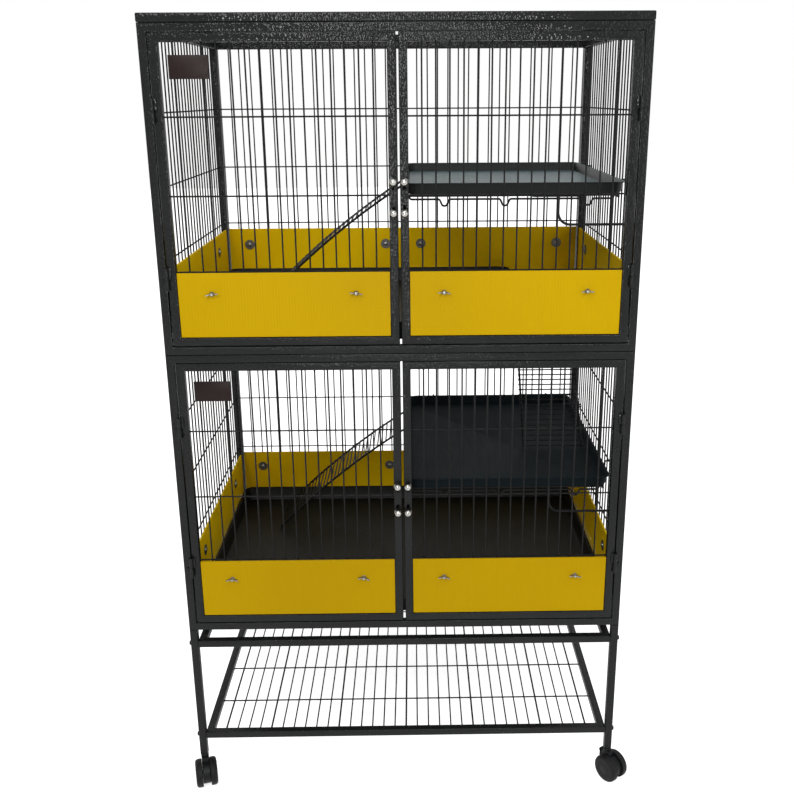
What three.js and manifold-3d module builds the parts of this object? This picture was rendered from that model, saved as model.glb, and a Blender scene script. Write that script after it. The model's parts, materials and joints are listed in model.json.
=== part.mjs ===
// Two-tier ferret cage on a wheeled stand, in millimetres, +Z up, with the doors facing -Y.
// The origin is on the floor under the middle of the cage.

import * as THREE from 'three';
import { mergeVertices } from 'three/addons/utils/BufferGeometryUtils.js';
import Module from 'manifold-3d';

// Overall sizes of the cage
const CAGE_WIDTH = 914;
const CAGE_DEPTH = 635;
const TIER_HEIGHT = 605;
const TUBE = 16;
const SEAT = 0.3; // left between pieces that rest on or against each other

// Welded wire
const WIRE_R = 1.6;
const WIRE_PITCH = 25.4;
const WIRE_SET = 4; // how far a wire runs into its tube
const WIRE_SIDES = 4;
const WALL_CROSS_TOP = 154; // from the tier's top edge down to the highest cross wire
const WALL_CROSS_BOTTOM = 35.5; // from the tier's bottom edge up to the lowest
const WALL_CROSSES = 4;
const DOOR_CROSS_PITCH = 142;
const ROD_R = 2.5; // the thicker rods of grids, shelves and ramps
const ROD_SIDES = 5;
const WELD_PAST = 0.6; // share of a rod's radius that a welded end runs past its middle
const WELD_STEP = 3.2; // a frame's rods along x lie this much higher than its rods along y

// Doors, hinges and latches
const DOOR_GAP = 2;
const DOOR_SPLIT = 4.5; // between the two doors
const HINGE_FROM_END = 131;
const KNUCKLE_R = 4;
const KNUCKLE_LENGTH = 22;
const KNUCKLE_SIDES = 6;
const PIN_R = 1.8;
const PIN_SIDES = 4;
const PIN_STANDS = 18; // of the pin that stands out of the frame's knuckle
const LEAF_WIDTH = 8;
const LEAF_THICK = 2.6;
const LEAF_SET = 0.5;
const STILE_BORE = 11; // square hollow that the latch rods run in
const LATCH_ROD_R = 3.2;
const LATCH_TRAVEL = 12;
const LATCH_SPREAD = 57; // between the two knobs of a door
const LATCH_LOW = 3; // their middle is this far below the door's
const LATCH_STEM_R = 2.5;
const LATCH_TIP_GAP = 0.5;
const KNOB_R = 8;
const KNOB_STANDS = 9; // centre of the ball in front of the door
const KEEPER_DEPTH = 9;

// Guards: flat plastic panels low on every wall
const GUARD_THICK = 4;
const GUARD_HEIGHT = 125;
const GUARD_TOP = 160;
const GUARD_GAP = 1;

// Floor grids, pans and the way through the upper floor
const GRID_INTERVALS = 12;
const GRID_CROSSES = 3;
const GRID_FROM_WALL = 6; // from the side walls' posts to the middle of the grid's end rods
const GRID_REST = 2.2; // from the inner edge of the bottom tube out to the middle of the grid's end rod
const PAN_HEIGHT = 35;
const PAN_WALL = 1.5;
const PAN_LIP = 4;
const PAN_DRAFT = 5;
const PAN_CORNER_R = 22;
const PAN_GAP = 1.5;
const CORNER_STEPS = 2;
const HOLE_LEFT_EDGE = 190; // from the cage's right face
const HOLE_FRONT_EDGE = 220; // from the cage's back face
const HOLE_BACK_EDGE = 94;
const NOTCH_MARGIN = 2;
const NOTCH_CORNER_R = 5;

// Half-width shelves
const TRAY_BELOW_CROSS = 13.5; // from the cross wire that the shelf hooks on down to the tray's underside
const TRAY_LEFT = 8;
const TRAY_RIGHT_GAP = 7;
const TRAY_FRONT = 46; // from the cage's front face
const TRAY_BACK_GAP = 7;
const TRAY_HEIGHT = 22;
const TRAY_WALL = 2;
const TRAY_LIP = 4;
const TRAY_DRAFT = 4;
const TRAY_CORNER_R = 24;
const SHELF_LEFT_ROD = 2; // from the tray's left edge in to the rod that the ramp hooks on
const SHELF_EDGE = 14; // from the tray's other edges in to the frame's rods
const SHELF_BARS = 8;
const TRUSS_DROP = 7;
const DIP_DROP = 12.5;
const DIP_WIDTH = 19;
const DIP_PLACES = [0.174, 0.468, 0.872];
const HOOK_ROD_R = 2;
const BRACE_DROP = 57;
const BRACE_REACH = 139;
const BRACE_BEND = 24;
// Places of the shelf's hooks along the walls, as shares of a wall's length from its middle
const SIDE_HOOKS = [-0.29, 0.37];
const BACK_HOOKS = [0.08, 0.41];

// Ramps
const RAMP_LENGTH = 422;
const RAMP_WIDTH = 134; // between the rails' middles
const RAMP_ARCH = 13;
const RAMP_STEPS = 6;
const RUNG_R = 1.3;
const RUNG_PITCH = 20;
const RUNG_SIDES = 3;
const RAMP_MIDDLES = { lower: 138, upper: 270 }; // from the cage's back face
const HOOK_STEPS = 4;
const HOOK_SWEEP = 2.2; // radians that a ramp's hook wraps round its rod
const TIER_RAMP_MIDDLE = 113.5; // from the cage's right face

// Stand
const STAND_HEIGHT = 384;
const LEG_BOTTOM = 70;
const STAND_TOP_FRAME = 342; // floor to the underside of the upper ring
const STAND_SHELF = 113;
const STAND_CROSSES = 4;
const STAND_THICK_EVERY = 6;

// Twin-wheel casters
const WHEEL_R = 30;
const WHEEL_WIDTH = 15;
const WHEEL_SPACE = 17; // between the two wheels of a caster
const WHEEL_SIDES = 16;
const TREAD_ROUND = 4;
const AXLE_R = 4;
const CASTER_TRAIL = 14;
const CASTER_TURNS = { front_left: 16, front_right: 36, back_left: 216, back_right: 196 }; // degrees swivelled
const FORK_R = 24;
const FORK_SIDES = 12;
const NECK_HALF = 9;
const COLLAR_R = 8;
const COLLAR_HEIGHT = 4;
const STEM_R = 5;
const STEM_LENGTH = 28;
const STEM_SIDES = 8;
const BRAKE_PIVOT_BACK = 11;
const BRAKE_PIVOT_Z = 47;
const BRAKE_KNUCKLE_R = 3.2;
const BRAKE_LENGTH = 17;
const BRAKE_THICK = 3;

// Values that follow from the sizes above
const FRONT = -CAGE_DEPTH / 2;
const BACK = CAGE_DEPTH / 2;
const HALF_WIDTH = CAGE_WIDTH / 2;
const WIRE_STEP = 2 * WIRE_R + SEAT; // a cross wire lies this far from the uprights, middle to middle
const SIDE_LENGTH = CAGE_DEPTH - 2 * TUBE - 2 * SEAT;
const DOOR_WIDTH = (CAGE_WIDTH - 2 * TUBE - 2 * DOOR_GAP - DOOR_SPLIT) / 2;
const DOOR_HEIGHT = TIER_HEIGHT - 2 * TUBE - 2 * DOOR_GAP;
const DOOR_BOTTOM = TUBE + DOOR_GAP;
const DOOR_MIDDLE_X = (DOOR_SPLIT + DOOR_WIDTH) / 2;
const HINGE_X = HALF_WIDTH - TUBE - DOOR_GAP / 2;
const HINGE_Y = -(KNUCKLE_R + SEAT); // from the cage's front face
const WALL_CROSS_PITCH = (TIER_HEIGHT - WALL_CROSS_TOP - WALL_CROSS_BOTTOM) / (WALL_CROSSES - 1);
const WALL_CROSS_HEIGHTS = Array.from(
  { length: WALL_CROSSES },
  (_, i) => TIER_HEIGHT - WALL_CROSS_TOP - i * WALL_CROSS_PITCH,
);
const GRID_ROD_Z = TUBE + SEAT + ROD_R;
const GRID_CROSS_Z = GRID_ROD_Z + WELD_STEP;
const GRID_WIRE_Z = GRID_ROD_Z + WIRE_STEP;
const GRID_HALF_WIDTH = HALF_WIDTH - TUBE + GRID_REST;
const GRID_FRONT = FRONT + 2 * TUBE + GRID_FROM_WALL;
const GRID_BACK = BACK - 2 * TUBE - GRID_FROM_WALL;
const HOLE_LEFT = HALF_WIDTH - HOLE_LEFT_EDGE;
const HOLE_FRONT = BACK - HOLE_FRONT_EDGE;
const HOLE_BACK = BACK - HOLE_BACK_EDGE;
const PAN_BOTTOM = GRID_CROSS_Z + ROD_R + SEAT;
const PAN_FLOOR = PAN_BOTTOM + PAN_WALL;
const TRAY_RIGHT = HALF_WIDTH - TUBE - TRAY_RIGHT_GAP;
const SHELF_HEIGHT = WALL_CROSS_HEIGHTS[1] - TRAY_BELOW_CROSS; // tier floor to the tray's underside
const TRAY_FLOOR = SHELF_HEIGHT + TRAY_WALL;
const SHELF_CROSS_Z = SHELF_HEIGHT - SEAT - ROD_R;
const SHELF_ROD_Z = SHELF_CROSS_Z - WELD_STEP;
const HOOK_R = 2 * ROD_R + SEAT; // middle of a ramp's hook from the middle of its rod
const TIER_BASES = { lower: STAND_HEIGHT + SEAT, upper: STAND_HEIGHT + TIER_HEIGHT + 2 * SEAT };
const TOP_HEIGHT = TIER_BASES.upper + TIER_HEIGHT + SEAT + TUBE;
const LEG_X = HALF_WIDTH - TUBE / 2;
const LEG_Y = BACK - TUBE / 2;
const AXLE_Z = WHEEL_R;
const COLLAR_Z = LEG_BOTTOM - SEAT;

// Materials
const coat = (name, color, roughness, metalness) =>
  new THREE.MeshStandardMaterial({ name, color, roughness, metalness });
const POWDER_COAT = () => coat('powder_coated_steel', 0x2a2c2c, 0.45, 0.35);
const GUARD_PLASTIC = () => coat('yellow_plastic', 0xd2ab00, 0.5, 0);
const SHELF_PLASTIC = () => coat('slate_plastic', 0x3d4749, 0.55, 0);
const PAN_PLASTIC = () => coat('black_plastic', 0x22221e, 0.6, 0);
const CHROME = () => coat('chrome', 0xc8c8c4, 0.15, 1);
const CASTER_NYLON = () => coat('black_nylon', 0x1b1c1d, 0.5, 0);

const wasm = await Module();
wasm.setup();

// ---- Solids ----

function solidOf(geometry) {
  const bare = geometry.clone();
  bare.deleteAttribute('normal');
  bare.deleteAttribute('uv');
  const merged = mergeVertices(bare);
  const corners = [];
  for (let i = 0; i < merged.index.count; i += 3) {
    const face = [0, 1, 2].map((k) => merged.index.getX(i + k));
    if (new Set(face).size === 3) corners.push(...face);
  }
  return new wasm.Manifold(
    new wasm.Mesh({
      numProp: 3,
      vertProperties: new Float32Array(merged.attributes.position.array),
      triVerts: new Uint32Array(corners),
    }),
  );
}

function geometryOf(solid) {
  const { vertProperties, triVerts } = solid.getMesh();
  const geometry = new THREE.BufferGeometry();
  geometry.setAttribute('position', new THREE.BufferAttribute(vertProperties, 3));
  geometry.setIndex(new THREE.BufferAttribute(triVerts, 1));
  geometry.computeVertexNormals();
  return geometry;
}

const joined = (geometries) => geometries.map(solidOf).reduce((whole, next) => whole.add(next));

const cut = (whole, geometries) => geometries.map(solidOf).reduce((left, tool) => left.subtract(tool), whole);

// A polygon of this many sides clears a round of `radius` when it is drawn with the radius given back.
const roundedUp = (radius, sides) => radius / Math.cos(Math.PI / sides);

function block(x0, x1, y0, y1, z0, z1) {
  const geometry = new THREE.BoxGeometry(Math.abs(x1 - x0), Math.abs(y1 - y0), Math.abs(z1 - z0));
  return geometry.translate((x0 + x1) / 2, (y0 + y1) / 2, (z0 + z1) / 2);
}

function bar(from, to, radius, sides) {
  const start = new THREE.Vector3(...from);
  const span = new THREE.Vector3(...to).sub(start);
  const geometry = new THREE.CylinderGeometry(radius, radius, span.length(), sides);
  const middle = start.clone().addScaledVector(span, 0.5);
  const turn = new THREE.Quaternion().setFromUnitVectors(new THREE.Vector3(0, 1, 0), span.normalize());
  return geometry.applyQuaternion(turn).translate(middle.x, middle.y, middle.z);
}

// A path through points that are as far apart as they need to be, with one step of a sweep for each stretch.
class BentPath extends THREE.Curve {
  constructor(points) {
    super();
    this.points = points.map((point) => new THREE.Vector3(...point));
  }

  getPoint(t) {
    const place = t * (this.points.length - 1);
    const first = Math.min(Math.floor(place), this.points.length - 2);
    return this.points[first].clone().lerp(this.points[first + 1], place - first);
  }

  getPointAt(t) {
    return this.getPoint(t);
  }

  getTangent(t) {
    const last = this.points.length - 1;
    const here = Math.round(t * last);
    const along = (i) => this.points[i + 1].clone().sub(this.points[i]).normalize();
    const before = along(Math.max(here - 1, 0));
    return before.add(along(Math.min(here, last - 1))).normalize();
  }

  getTangentAt(t) {
    return this.getTangent(t);
  }
}

function bentRod(points, radius, sides) {
  const section = new THREE.Shape();
  for (let i = 0; i < sides; i += 1) {
    const angle = (2 * Math.PI * i) / sides;
    const place = [radius * Math.cos(angle), radius * Math.sin(angle)];
    if (i === 0) section.moveTo(...place);
    else section.lineTo(...place);
  }
  return new THREE.ExtrudeGeometry(section, {
    steps: points.length - 1,
    bevelEnabled: false,
    extrudePath: new BentPath(points),
  });
}

// ---- Wire panels ----

// A flat ring of square tube. x runs across it, z up it, and y from its outer face inwards.
function tubeRing(width, height) {
  const rectangle = (path, inset) => {
    const half = width / 2 - inset;
    path.moveTo(-half, inset).lineTo(half, inset).lineTo(half, height - inset).lineTo(-half, height - inset);
    return path;
  };
  const outline = rectangle(new THREE.Shape(), 0);
  outline.holes.push(rectangle(new THREE.Path(), TUBE));
  const ring = new THREE.ExtrudeGeometry(outline, { depth: TUBE, bevelEnabled: false });
  return ring.rotateX(Math.PI / 2).translate(0, TUBE, 0);
}

// The wires that fill a ring. Each one ends inside the tube, and the cross wires lie against the uprights,
// on their inner side where `crossSide` is 1 and on their outer side where it is -1.
function wiresIn({ width, height, uprights, crossHeights, crossSide, sides, thickEvery = 0 }) {
  const reach = width / 2 - TUBE + WIRE_SET;
  const low = TUBE - WIRE_SET;
  const clear = width - 2 * TUBE;
  const wires = [];
  for (let i = 1; i <= uprights; i += 1) {
    const x = -clear / 2 + (clear * i) / (uprights + 1);
    const thick = thickEvery > 0 && (i - (uprights + 1) / 2) % thickEvery === 0;
    wires.push(bar([x, TUBE / 2, low], [x, TUBE / 2, height - low], thick ? WIRE_R * 1.3 : WIRE_R, sides));
  }
  const crossY = TUBE / 2 + crossSide * (thickEvery > 0 ? WIRE_STEP + WIRE_R * 0.3 : WIRE_STEP);
  for (const z of crossHeights) wires.push(bar([-reach, crossY, z], [reach, crossY, z], WIRE_R, sides));
  return wires;
}

const uprightsAcross = (width) => Math.round((width - 2 * TUBE) / WIRE_PITCH) - 1;

// The middle of the gap between two uprights that lies nearest to `x`.
function betweenUprights(width, x) {
  const step = (width - 2 * TUBE) / (uprightsAcross(width) + 1);
  const left = TUBE - width / 2;
  return left + step * (Math.round((x - left) / step - 0.5) + 0.5);
}

function wirePanel(options) {
  const uprights = uprightsAcross(options.width);
  return joined([tubeRing(options.width, options.height), ...wiresIn({ uprights, ...options })]);
}

const wallPanel = (width) =>
  wirePanel({
    width,
    height: TIER_HEIGHT,
    crossHeights: WALL_CROSS_HEIGHTS,
    crossSide: -1,
    sides: WIRE_SIDES,
  });

// ---- Hinges, front frames and doors ----

const HINGE_HEIGHTS = [HINGE_FROM_END, DOOR_HEIGHT - HINGE_FROM_END]; // from the door's bottom edge

// The frame's half of a hinge: knuckle, standing pin and the leaf welded to the post.
function frameHinge(side, z) {
  const x = side * HINGE_X;
  const postEdge = HALF_WIDTH - TUBE + LEAF_SET;
  return [
    bar([x, HINGE_Y, z - KNUCKLE_LENGTH], [x, HINGE_Y, z - SEAT], KNUCKLE_R, KNUCKLE_SIDES),
    bar([x, HINGE_Y, z - KNUCKLE_LENGTH / 2], [x, HINGE_Y, z + PIN_STANDS], PIN_R, PIN_SIDES),
    block(side * postEdge, side * (postEdge + LEAF_WIDTH), -LEAF_THICK, LEAF_SET, z - KNUCKLE_LENGTH, z - SEAT),
  ];
}

// Blind holes in the top and bottom tubes that the latch rods shoot into.
function keepers() {
  const radius = roundedUp(LATCH_ROD_R + LATCH_TIP_GAP, PIN_SIDES);
  const x = (DOOR_SPLIT + TUBE) / 2;
  return [-x, x].flatMap((at) => [
    bar([at, TUBE / 2, TUBE - KEEPER_DEPTH], [at, TUBE / 2, TUBE + 1], radius, PIN_SIDES),
    bar(
      [at, TUBE / 2, TIER_HEIGHT - TUBE - 1],
      [at, TUBE / 2, TIER_HEIGHT - TUBE + KEEPER_DEPTH],
      radius,
      PIN_SIDES,
    ),
  ]);
}

function frontFrame() {
  const hinges = [-1, 1].flatMap((side) => HINGE_HEIGHTS.flatMap((z) => frameHinge(side, DOOR_BOTTOM + z)));
  return cut(joined([tubeRing(CAGE_WIDTH, TIER_HEIGHT), ...hinges]), keepers());
}

// Across a door, from its middle to the middle of the tube that holds the latches.
const latchX = (side) => (-side * (DOOR_WIDTH - TUBE)) / 2;

const knobHeight = (up) => DOOR_HEIGHT / 2 - LATCH_LOW + (up * LATCH_SPREAD) / 2;

function door(side) {
  const hingeX = side * HINGE_X - side * DOOR_MIDDLE_X;
  const edge = side * (DOOR_WIDTH / 2 + LEAF_SET);
  const knuckles = HINGE_HEIGHTS.flatMap((z) => [
    bar([hingeX, HINGE_Y, z], [hingeX, HINGE_Y, z + KNUCKLE_LENGTH], KNUCKLE_R, KNUCKLE_SIDES),
    block(edge, edge - side * LEAF_WIDTH, -LEAF_THICK, LEAF_SET, z, z + KNUCKLE_LENGTH),
  ]);
  const pinHoles = HINGE_HEIGHTS.map((z) =>
    bar(
      [hingeX, HINGE_Y, z - 1],
      [hingeX, HINGE_Y, z + KNUCKLE_LENGTH + 1],
      roundedUp(PIN_R + SEAT, PIN_SIDES),
      PIN_SIDES,
    ),
  );
  const x = latchX(side);
  const middle = TUBE / 2;
  const half = STILE_BORE / 2;
  const hollow = block(x - half, x + half, middle - half, middle + half, -1, DOOR_HEIGHT + 1);
  const slotHalf = LATCH_STEM_R + SEAT;
  const slots = [-1, 1].map((up) => {
    const outerEnd = knobHeight(up) + up * slotHalf;
    const innerEnd = knobHeight(up) - up * (LATCH_TRAVEL + slotHalf);
    return block(x - slotHalf, x + slotHalf, -1, middle, outerEnd, innerEnd);
  });
  const panel = wirePanel({
    width: DOOR_WIDTH,
    height: DOOR_HEIGHT,
    crossHeights: [-1, 0, 1].map((i) => DOOR_HEIGHT / 2 + i * DOOR_CROSS_PITCH),
    crossSide: 1,
    sides: WIRE_SIDES,
  });
  return cut(panel.add(joined(knuckles)), [...pinHoles, hollow, ...slots]);
}

// A sprung rod inside the door's inner tube, with a stem through the slot and a ball knob to pinch.
function latch(side, up) {
  const x = latchX(side);
  const z = knobHeight(up);
  const tip = up > 0 ? DOOR_HEIGHT + DOOR_GAP - LATCH_TIP_GAP : -DOOR_GAP + LATCH_TIP_GAP;
  const knob = new THREE.SphereGeometry(KNOB_R, 8, 5).rotateX(Math.PI / 2).translate(x, -KNOB_STANDS, z);
  return joined([
    knob,
    bar([x, -KNOB_STANDS, z], [x, TUBE / 2, z], LATCH_STEM_R, ROD_SIDES),
    bar([x, TUBE / 2, z - up * LATCH_ROD_R], [x, TUBE / 2, tip], LATCH_ROD_R, ROD_SIDES),
  ]);
}

// ---- Guards ----

// Outside the door wires, between the door's tubes.
function doorGuard() {
  const half = DOOR_WIDTH / 2 - TUBE - GUARD_GAP;
  const back = TUBE / 2 - WIRE_R - SEAT;
  const top = GUARD_TOP - DOOR_BOTTOM;
  return block(-half, half, back - GUARD_THICK, back, top - GUARD_HEIGHT, top);
}

// Inside the wires of a wall, between its tubes, from `start` to `end` across the panel.
function wallGuard(start, end) {
  const face = TUBE / 2 + WIRE_R + SEAT;
  return block(start, end, face, face + GUARD_THICK, GUARD_TOP - GUARD_HEIGHT, GUARD_TOP);
}

// ---- Pans and trays ----

// The corners of a right-angled outline, counter-clockwise, moved in by `inset` and rounded. A corner may carry its
// own radius as a third number.
function roundedOutline(corners, inset, radius) {
  const count = corners.length;
  const along = (from, to) => new THREE.Vector2(to[0] - from[0], to[1] - from[1]).normalize();
  const inward = (edge) => new THREE.Vector2(-edge.y, edge.x);
  return corners.flatMap((corner, i) => {
    const arriving = along(corners[(i + count - 1) % count], corner);
    const leaving = along(corner, corners[(i + 1) % count]);
    const turn = Math.sign(arriving.cross(leaving));
    const bend = turn * ((corner[2] ?? radius) - turn * inset);
    const first = inward(arriving);
    const last = inward(leaving);
    const diagonal = first.clone().add(last);
    const centre = new THREE.Vector2(corner[0], corner[1]).addScaledVector(diagonal, inset + bend);
    return Array.from({ length: CORNER_STEPS + 1 }, (_, k) => {
      const angle = ((Math.PI / 2) * k) / CORNER_STEPS;
      return centre
        .clone()
        .addScaledVector(first, -bend * Math.cos(angle))
        .addScaledVector(last, -bend * Math.sin(angle));
    });
  });
}

// A closed skin through rings of equally many points, capped flat on the first and the last.
function loft(rings) {
  const count = rings[0].outline.length;
  const positions = rings.flatMap(({ outline, z }) => outline.flatMap(({ x, y }) => [x, y, z]));
  const faces = [];
  for (let ring = 0; ring < rings.length - 1; ring += 1) {
    for (let i = 0; i < count; i += 1) {
      const here = ring * count + i;
      const next = ring * count + ((i + 1) % count);
      faces.push(here, next, next + count, here, next + count, here + count);
    }
  }
  const cap = (ring) => THREE.ShapeUtils.triangulateShape(rings[ring].outline, []);
  for (const [a, b, c] of cap(0)) faces.push(c, b, a);
  const top = (rings.length - 1) * count;
  for (const [a, b, c] of cap(rings.length - 1)) faces.push(top + a, top + b, top + c);
  const geometry = new THREE.BufferGeometry();
  geometry.setAttribute('position', new THREE.Float32BufferAttribute(positions, 3));
  geometry.setIndex(faces);
  geometry.computeVertexNormals();
  return geometry;
}

// A moulded tray with sloping walls and a turned-out lip.
function tray(corners, { bottom, height, wall, lip, draft, cornerR }) {
  const ring = (inset, z) => ({ outline: roundedOutline(corners, inset, cornerR), z });
  const top = bottom + height;
  return loft([
    ring(lip + draft, bottom),
    ring(lip, top - wall),
    ring(0, top - wall),
    ring(0, top),
    ring(lip + wall, top),
    ring(lip + draft + wall, bottom + wall),
  ]);
}

const PAN_SHAPE = {
  bottom: PAN_BOTTOM,
  height: PAN_HEIGHT,
  wall: PAN_WALL,
  lip: PAN_LIP,
  draft: PAN_DRAFT,
  cornerR: PAN_CORNER_R,
};

function floorPan(hasNotch) {
  const x = HALF_WIDTH - TUBE - PAN_GAP;
  const front = FRONT + TUBE + PAN_GAP;
  const back = BACK - TUBE - PAN_GAP;
  const notch = [
    [x, HOLE_FRONT - NOTCH_MARGIN],
    [HOLE_LEFT + NOTCH_MARGIN, HOLE_FRONT - NOTCH_MARGIN, NOTCH_CORNER_R],
    [HOLE_LEFT + NOTCH_MARGIN, back],
  ];
  return tray([[-x, front], [x, front], ...(hasNotch ? notch : [[x, back]]), [-x, back]], PAN_SHAPE);
}

function shelfTray() {
  const front = FRONT + TRAY_FRONT;
  const back = BACK - TUBE - TRAY_BACK_GAP;
  const corners = [
    [TRAY_LEFT, front],
    [TRAY_RIGHT, front],
    [TRAY_RIGHT, back],
    [TRAY_LEFT, back],
  ];
  return tray(corners, {
    bottom: SHELF_HEIGHT,
    height: TRAY_HEIGHT,
    wall: TRAY_WALL,
    lip: TRAY_LIP,
    draft: TRAY_DRAFT,
    cornerR: TRAY_CORNER_R,
  });
}

// ---- Floor grids ----

// A section of the floor grid: a loop of rod that rests on the side walls' bottom tubes, with wires across it and
// wires from front to back over those. With a hole it starts at the hole's front edge and goes round the hole, and
// the ramp hooks on the rod behind it.
function floorGrid(front, back, hasHole = false) {
  const w = GRID_HALF_WIDTH;
  const rod = (from, to) => bar(from, to, ROD_R, ROD_SIDES);
  const wire = (from, to) => bar(from, to, WIRE_R, WIRE_SIDES);
  const past = ROD_R * WELD_PAST; // how far an end runs past the middle of the rod that it is welded to
  const frontEnd = hasHole ? HOLE_LEFT : w;
  const rightStart = hasHole ? HOLE_BACK : front;
  const parts = [
    rod([-w - ROD_R, front, GRID_CROSS_Z], [frontEnd + ROD_R, front, GRID_CROSS_Z]),
    rod([-w - ROD_R, back, GRID_CROSS_Z], [w + ROD_R, back, GRID_CROSS_Z]),
    rod([-w, front - past, GRID_ROD_Z], [-w, back + past, GRID_ROD_Z]),
    rod([w, rightStart - past, GRID_ROD_Z], [w, back + past, GRID_ROD_Z]),
  ];
  if (hasHole) {
    parts.push(
      rod([HOLE_LEFT - past, HOLE_BACK, GRID_CROSS_Z], [w + ROD_R, HOLE_BACK, GRID_CROSS_Z]),
      rod([HOLE_LEFT, front - past, GRID_ROD_Z], [HOLE_LEFT, HOLE_BACK + past, GRID_ROD_Z]),
    );
  }
  for (let i = 1; i <= GRID_CROSSES; i += 1) {
    const y = GRID_FRONT + ((GRID_BACK - GRID_FRONT) * i) / (GRID_CROSSES + 1);
    if (y > front && y < back) {
      parts.push(wire([-w, y, GRID_ROD_Z], [y < HOLE_BACK ? frontEnd : w, y, GRID_ROD_Z]));
    }
  }
  for (let i = 1; i < GRID_INTERVALS; i += 1) {
    const x = -w + (2 * w * i) / GRID_INTERVALS;
    parts.push(wire([x, x > frontEnd ? HOLE_BACK : front, GRID_WIRE_Z], [x, back, GRID_WIRE_Z]));
  }
  return joined(parts);
}

// ---- Shelf frames ----

// A rod bent down from the frame, along under the tray's edge with a dip at each hammock place, and up again.
function truss(x0, x1, y) {
  const top = SHELF_CROSS_Z;
  const low = top - TRUSS_DROP;
  const slope = TRUSS_DROP / 2;
  const points = [
    [x0, y, top],
    [x0 + slope, y, low],
  ];
  for (const place of DIP_PLACES) {
    const middle = x0 + (x1 - x0) * place;
    points.push(
      [middle - DIP_WIDTH / 2, y, low],
      [middle - DIP_WIDTH / 5, y, low - DIP_DROP],
      [middle + DIP_WIDTH / 5, y, low - DIP_DROP],
      [middle + DIP_WIDTH / 2, y, low],
    );
  }
  points.push([x1 - slope, y, low], [x1, y, top]);
  return bentRod(points, HOOK_ROD_R, WIRE_SIDES);
}

// The end of a rod that goes up over a wall's cross wire and down behind it. `out` points out of the cage.
function wallHook(from, out, wireLine) {
  const rise = WALL_CROSS_HEIGHTS[1] + WIRE_R + SEAT + HOOK_ROD_R;
  const clear = WIRE_R + SEAT + HOOK_ROD_R;
  const at = (distance, z) => [
    from[0] + out[0] * (distance - from[0] * out[0]),
    from[1] + out[1] * (distance - from[1] * out[1]),
    z,
  ];
  const points = [
    from,
    at(wireLine - 3 * clear, from[2]),
    at(wireLine - 3 * clear, rise),
    at(wireLine + clear, rise),
    at(wireLine + clear, rise - 2 * clear),
  ];
  return bentRod(points, HOOK_ROD_R, WIRE_SIDES);
}

// A rod that bears on the side wall below the shelf and bends up to the frame.
function brace(y) {
  const wall = HALF_WIDTH - TUBE / 2 - WIRE_R - SEAT - ROD_R;
  const low = SHELF_CROSS_Z - BRACE_DROP;
  const foot = wall - BRACE_REACH;
  const bend = (angle) => [
    foot + BRACE_BEND * (1 - Math.cos(angle)),
    y,
    low + BRACE_BEND * (1 - Math.sin(angle)),
  ];
  const quarter = [0, 1, 2].map((k) => bend((Math.PI / 2) * (k / 2)));
  return bentRod([[foot, y, SHELF_CROSS_Z], ...quarter, [wall, y, low]], ROD_R, ROD_SIDES);
}

function shelfFrame() {
  const left = TRAY_LEFT + SHELF_LEFT_ROD;
  const right = TRAY_RIGHT - SHELF_EDGE;
  const front = FRONT + TRAY_FRONT + SHELF_EDGE;
  const back = BACK - TUBE - TRAY_BACK_GAP - SHELF_EDGE;
  const z = SHELF_ROD_Z;
  const past = ROD_R * WELD_PAST;
  const rod = (from, to) => bar(from, to, ROD_R, ROD_SIDES);
  const bars = Array.from({ length: SHELF_BARS }, (_, i) => {
    const x = left + ((right - left) * (i + 1)) / (SHELF_BARS + 1);
    return bar([x, front, SHELF_CROSS_Z], [x, back, SHELF_CROSS_Z], WIRE_R, WIRE_SIDES);
  });
  const wallLine = HALF_WIDTH - TUBE / 2 + WIRE_STEP;
  const backLine = BACK - TUBE / 2 + WIRE_STEP;
  const sideHookYs = SIDE_HOOKS.map((share) => betweenUprights(SIDE_LENGTH, share * SIDE_LENGTH));
  const backHookXs = BACK_HOOKS.map((share) => betweenUprights(CAGE_WIDTH, share * CAGE_WIDTH));
  return joined([
    rod([left, front - past, z], [left, back + past, z]),
    rod([right, front - past, z], [right, back + past, z]),
    rod([left - past, front, SHELF_CROSS_Z], [right + past, front, SHELF_CROSS_Z]),
    rod([left - past, back, SHELF_CROSS_Z], [right + past, back, SHELF_CROSS_Z]),
    ...bars,
    truss(left + 3 * ROD_R, right - 3 * ROD_R, front),
    truss(left + 3 * ROD_R, right - 3 * ROD_R, back),
    brace(front),
    brace(back),
    ...sideHookYs.map((y) => wallHook([right, y, z], [1, 0], wallLine)),
    ...backHookXs.map((x) => wallHook([x, back, SHELF_CROSS_Z], [0, 1], backLine)),
  ]);
}

// ---- Ramps ----

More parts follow.
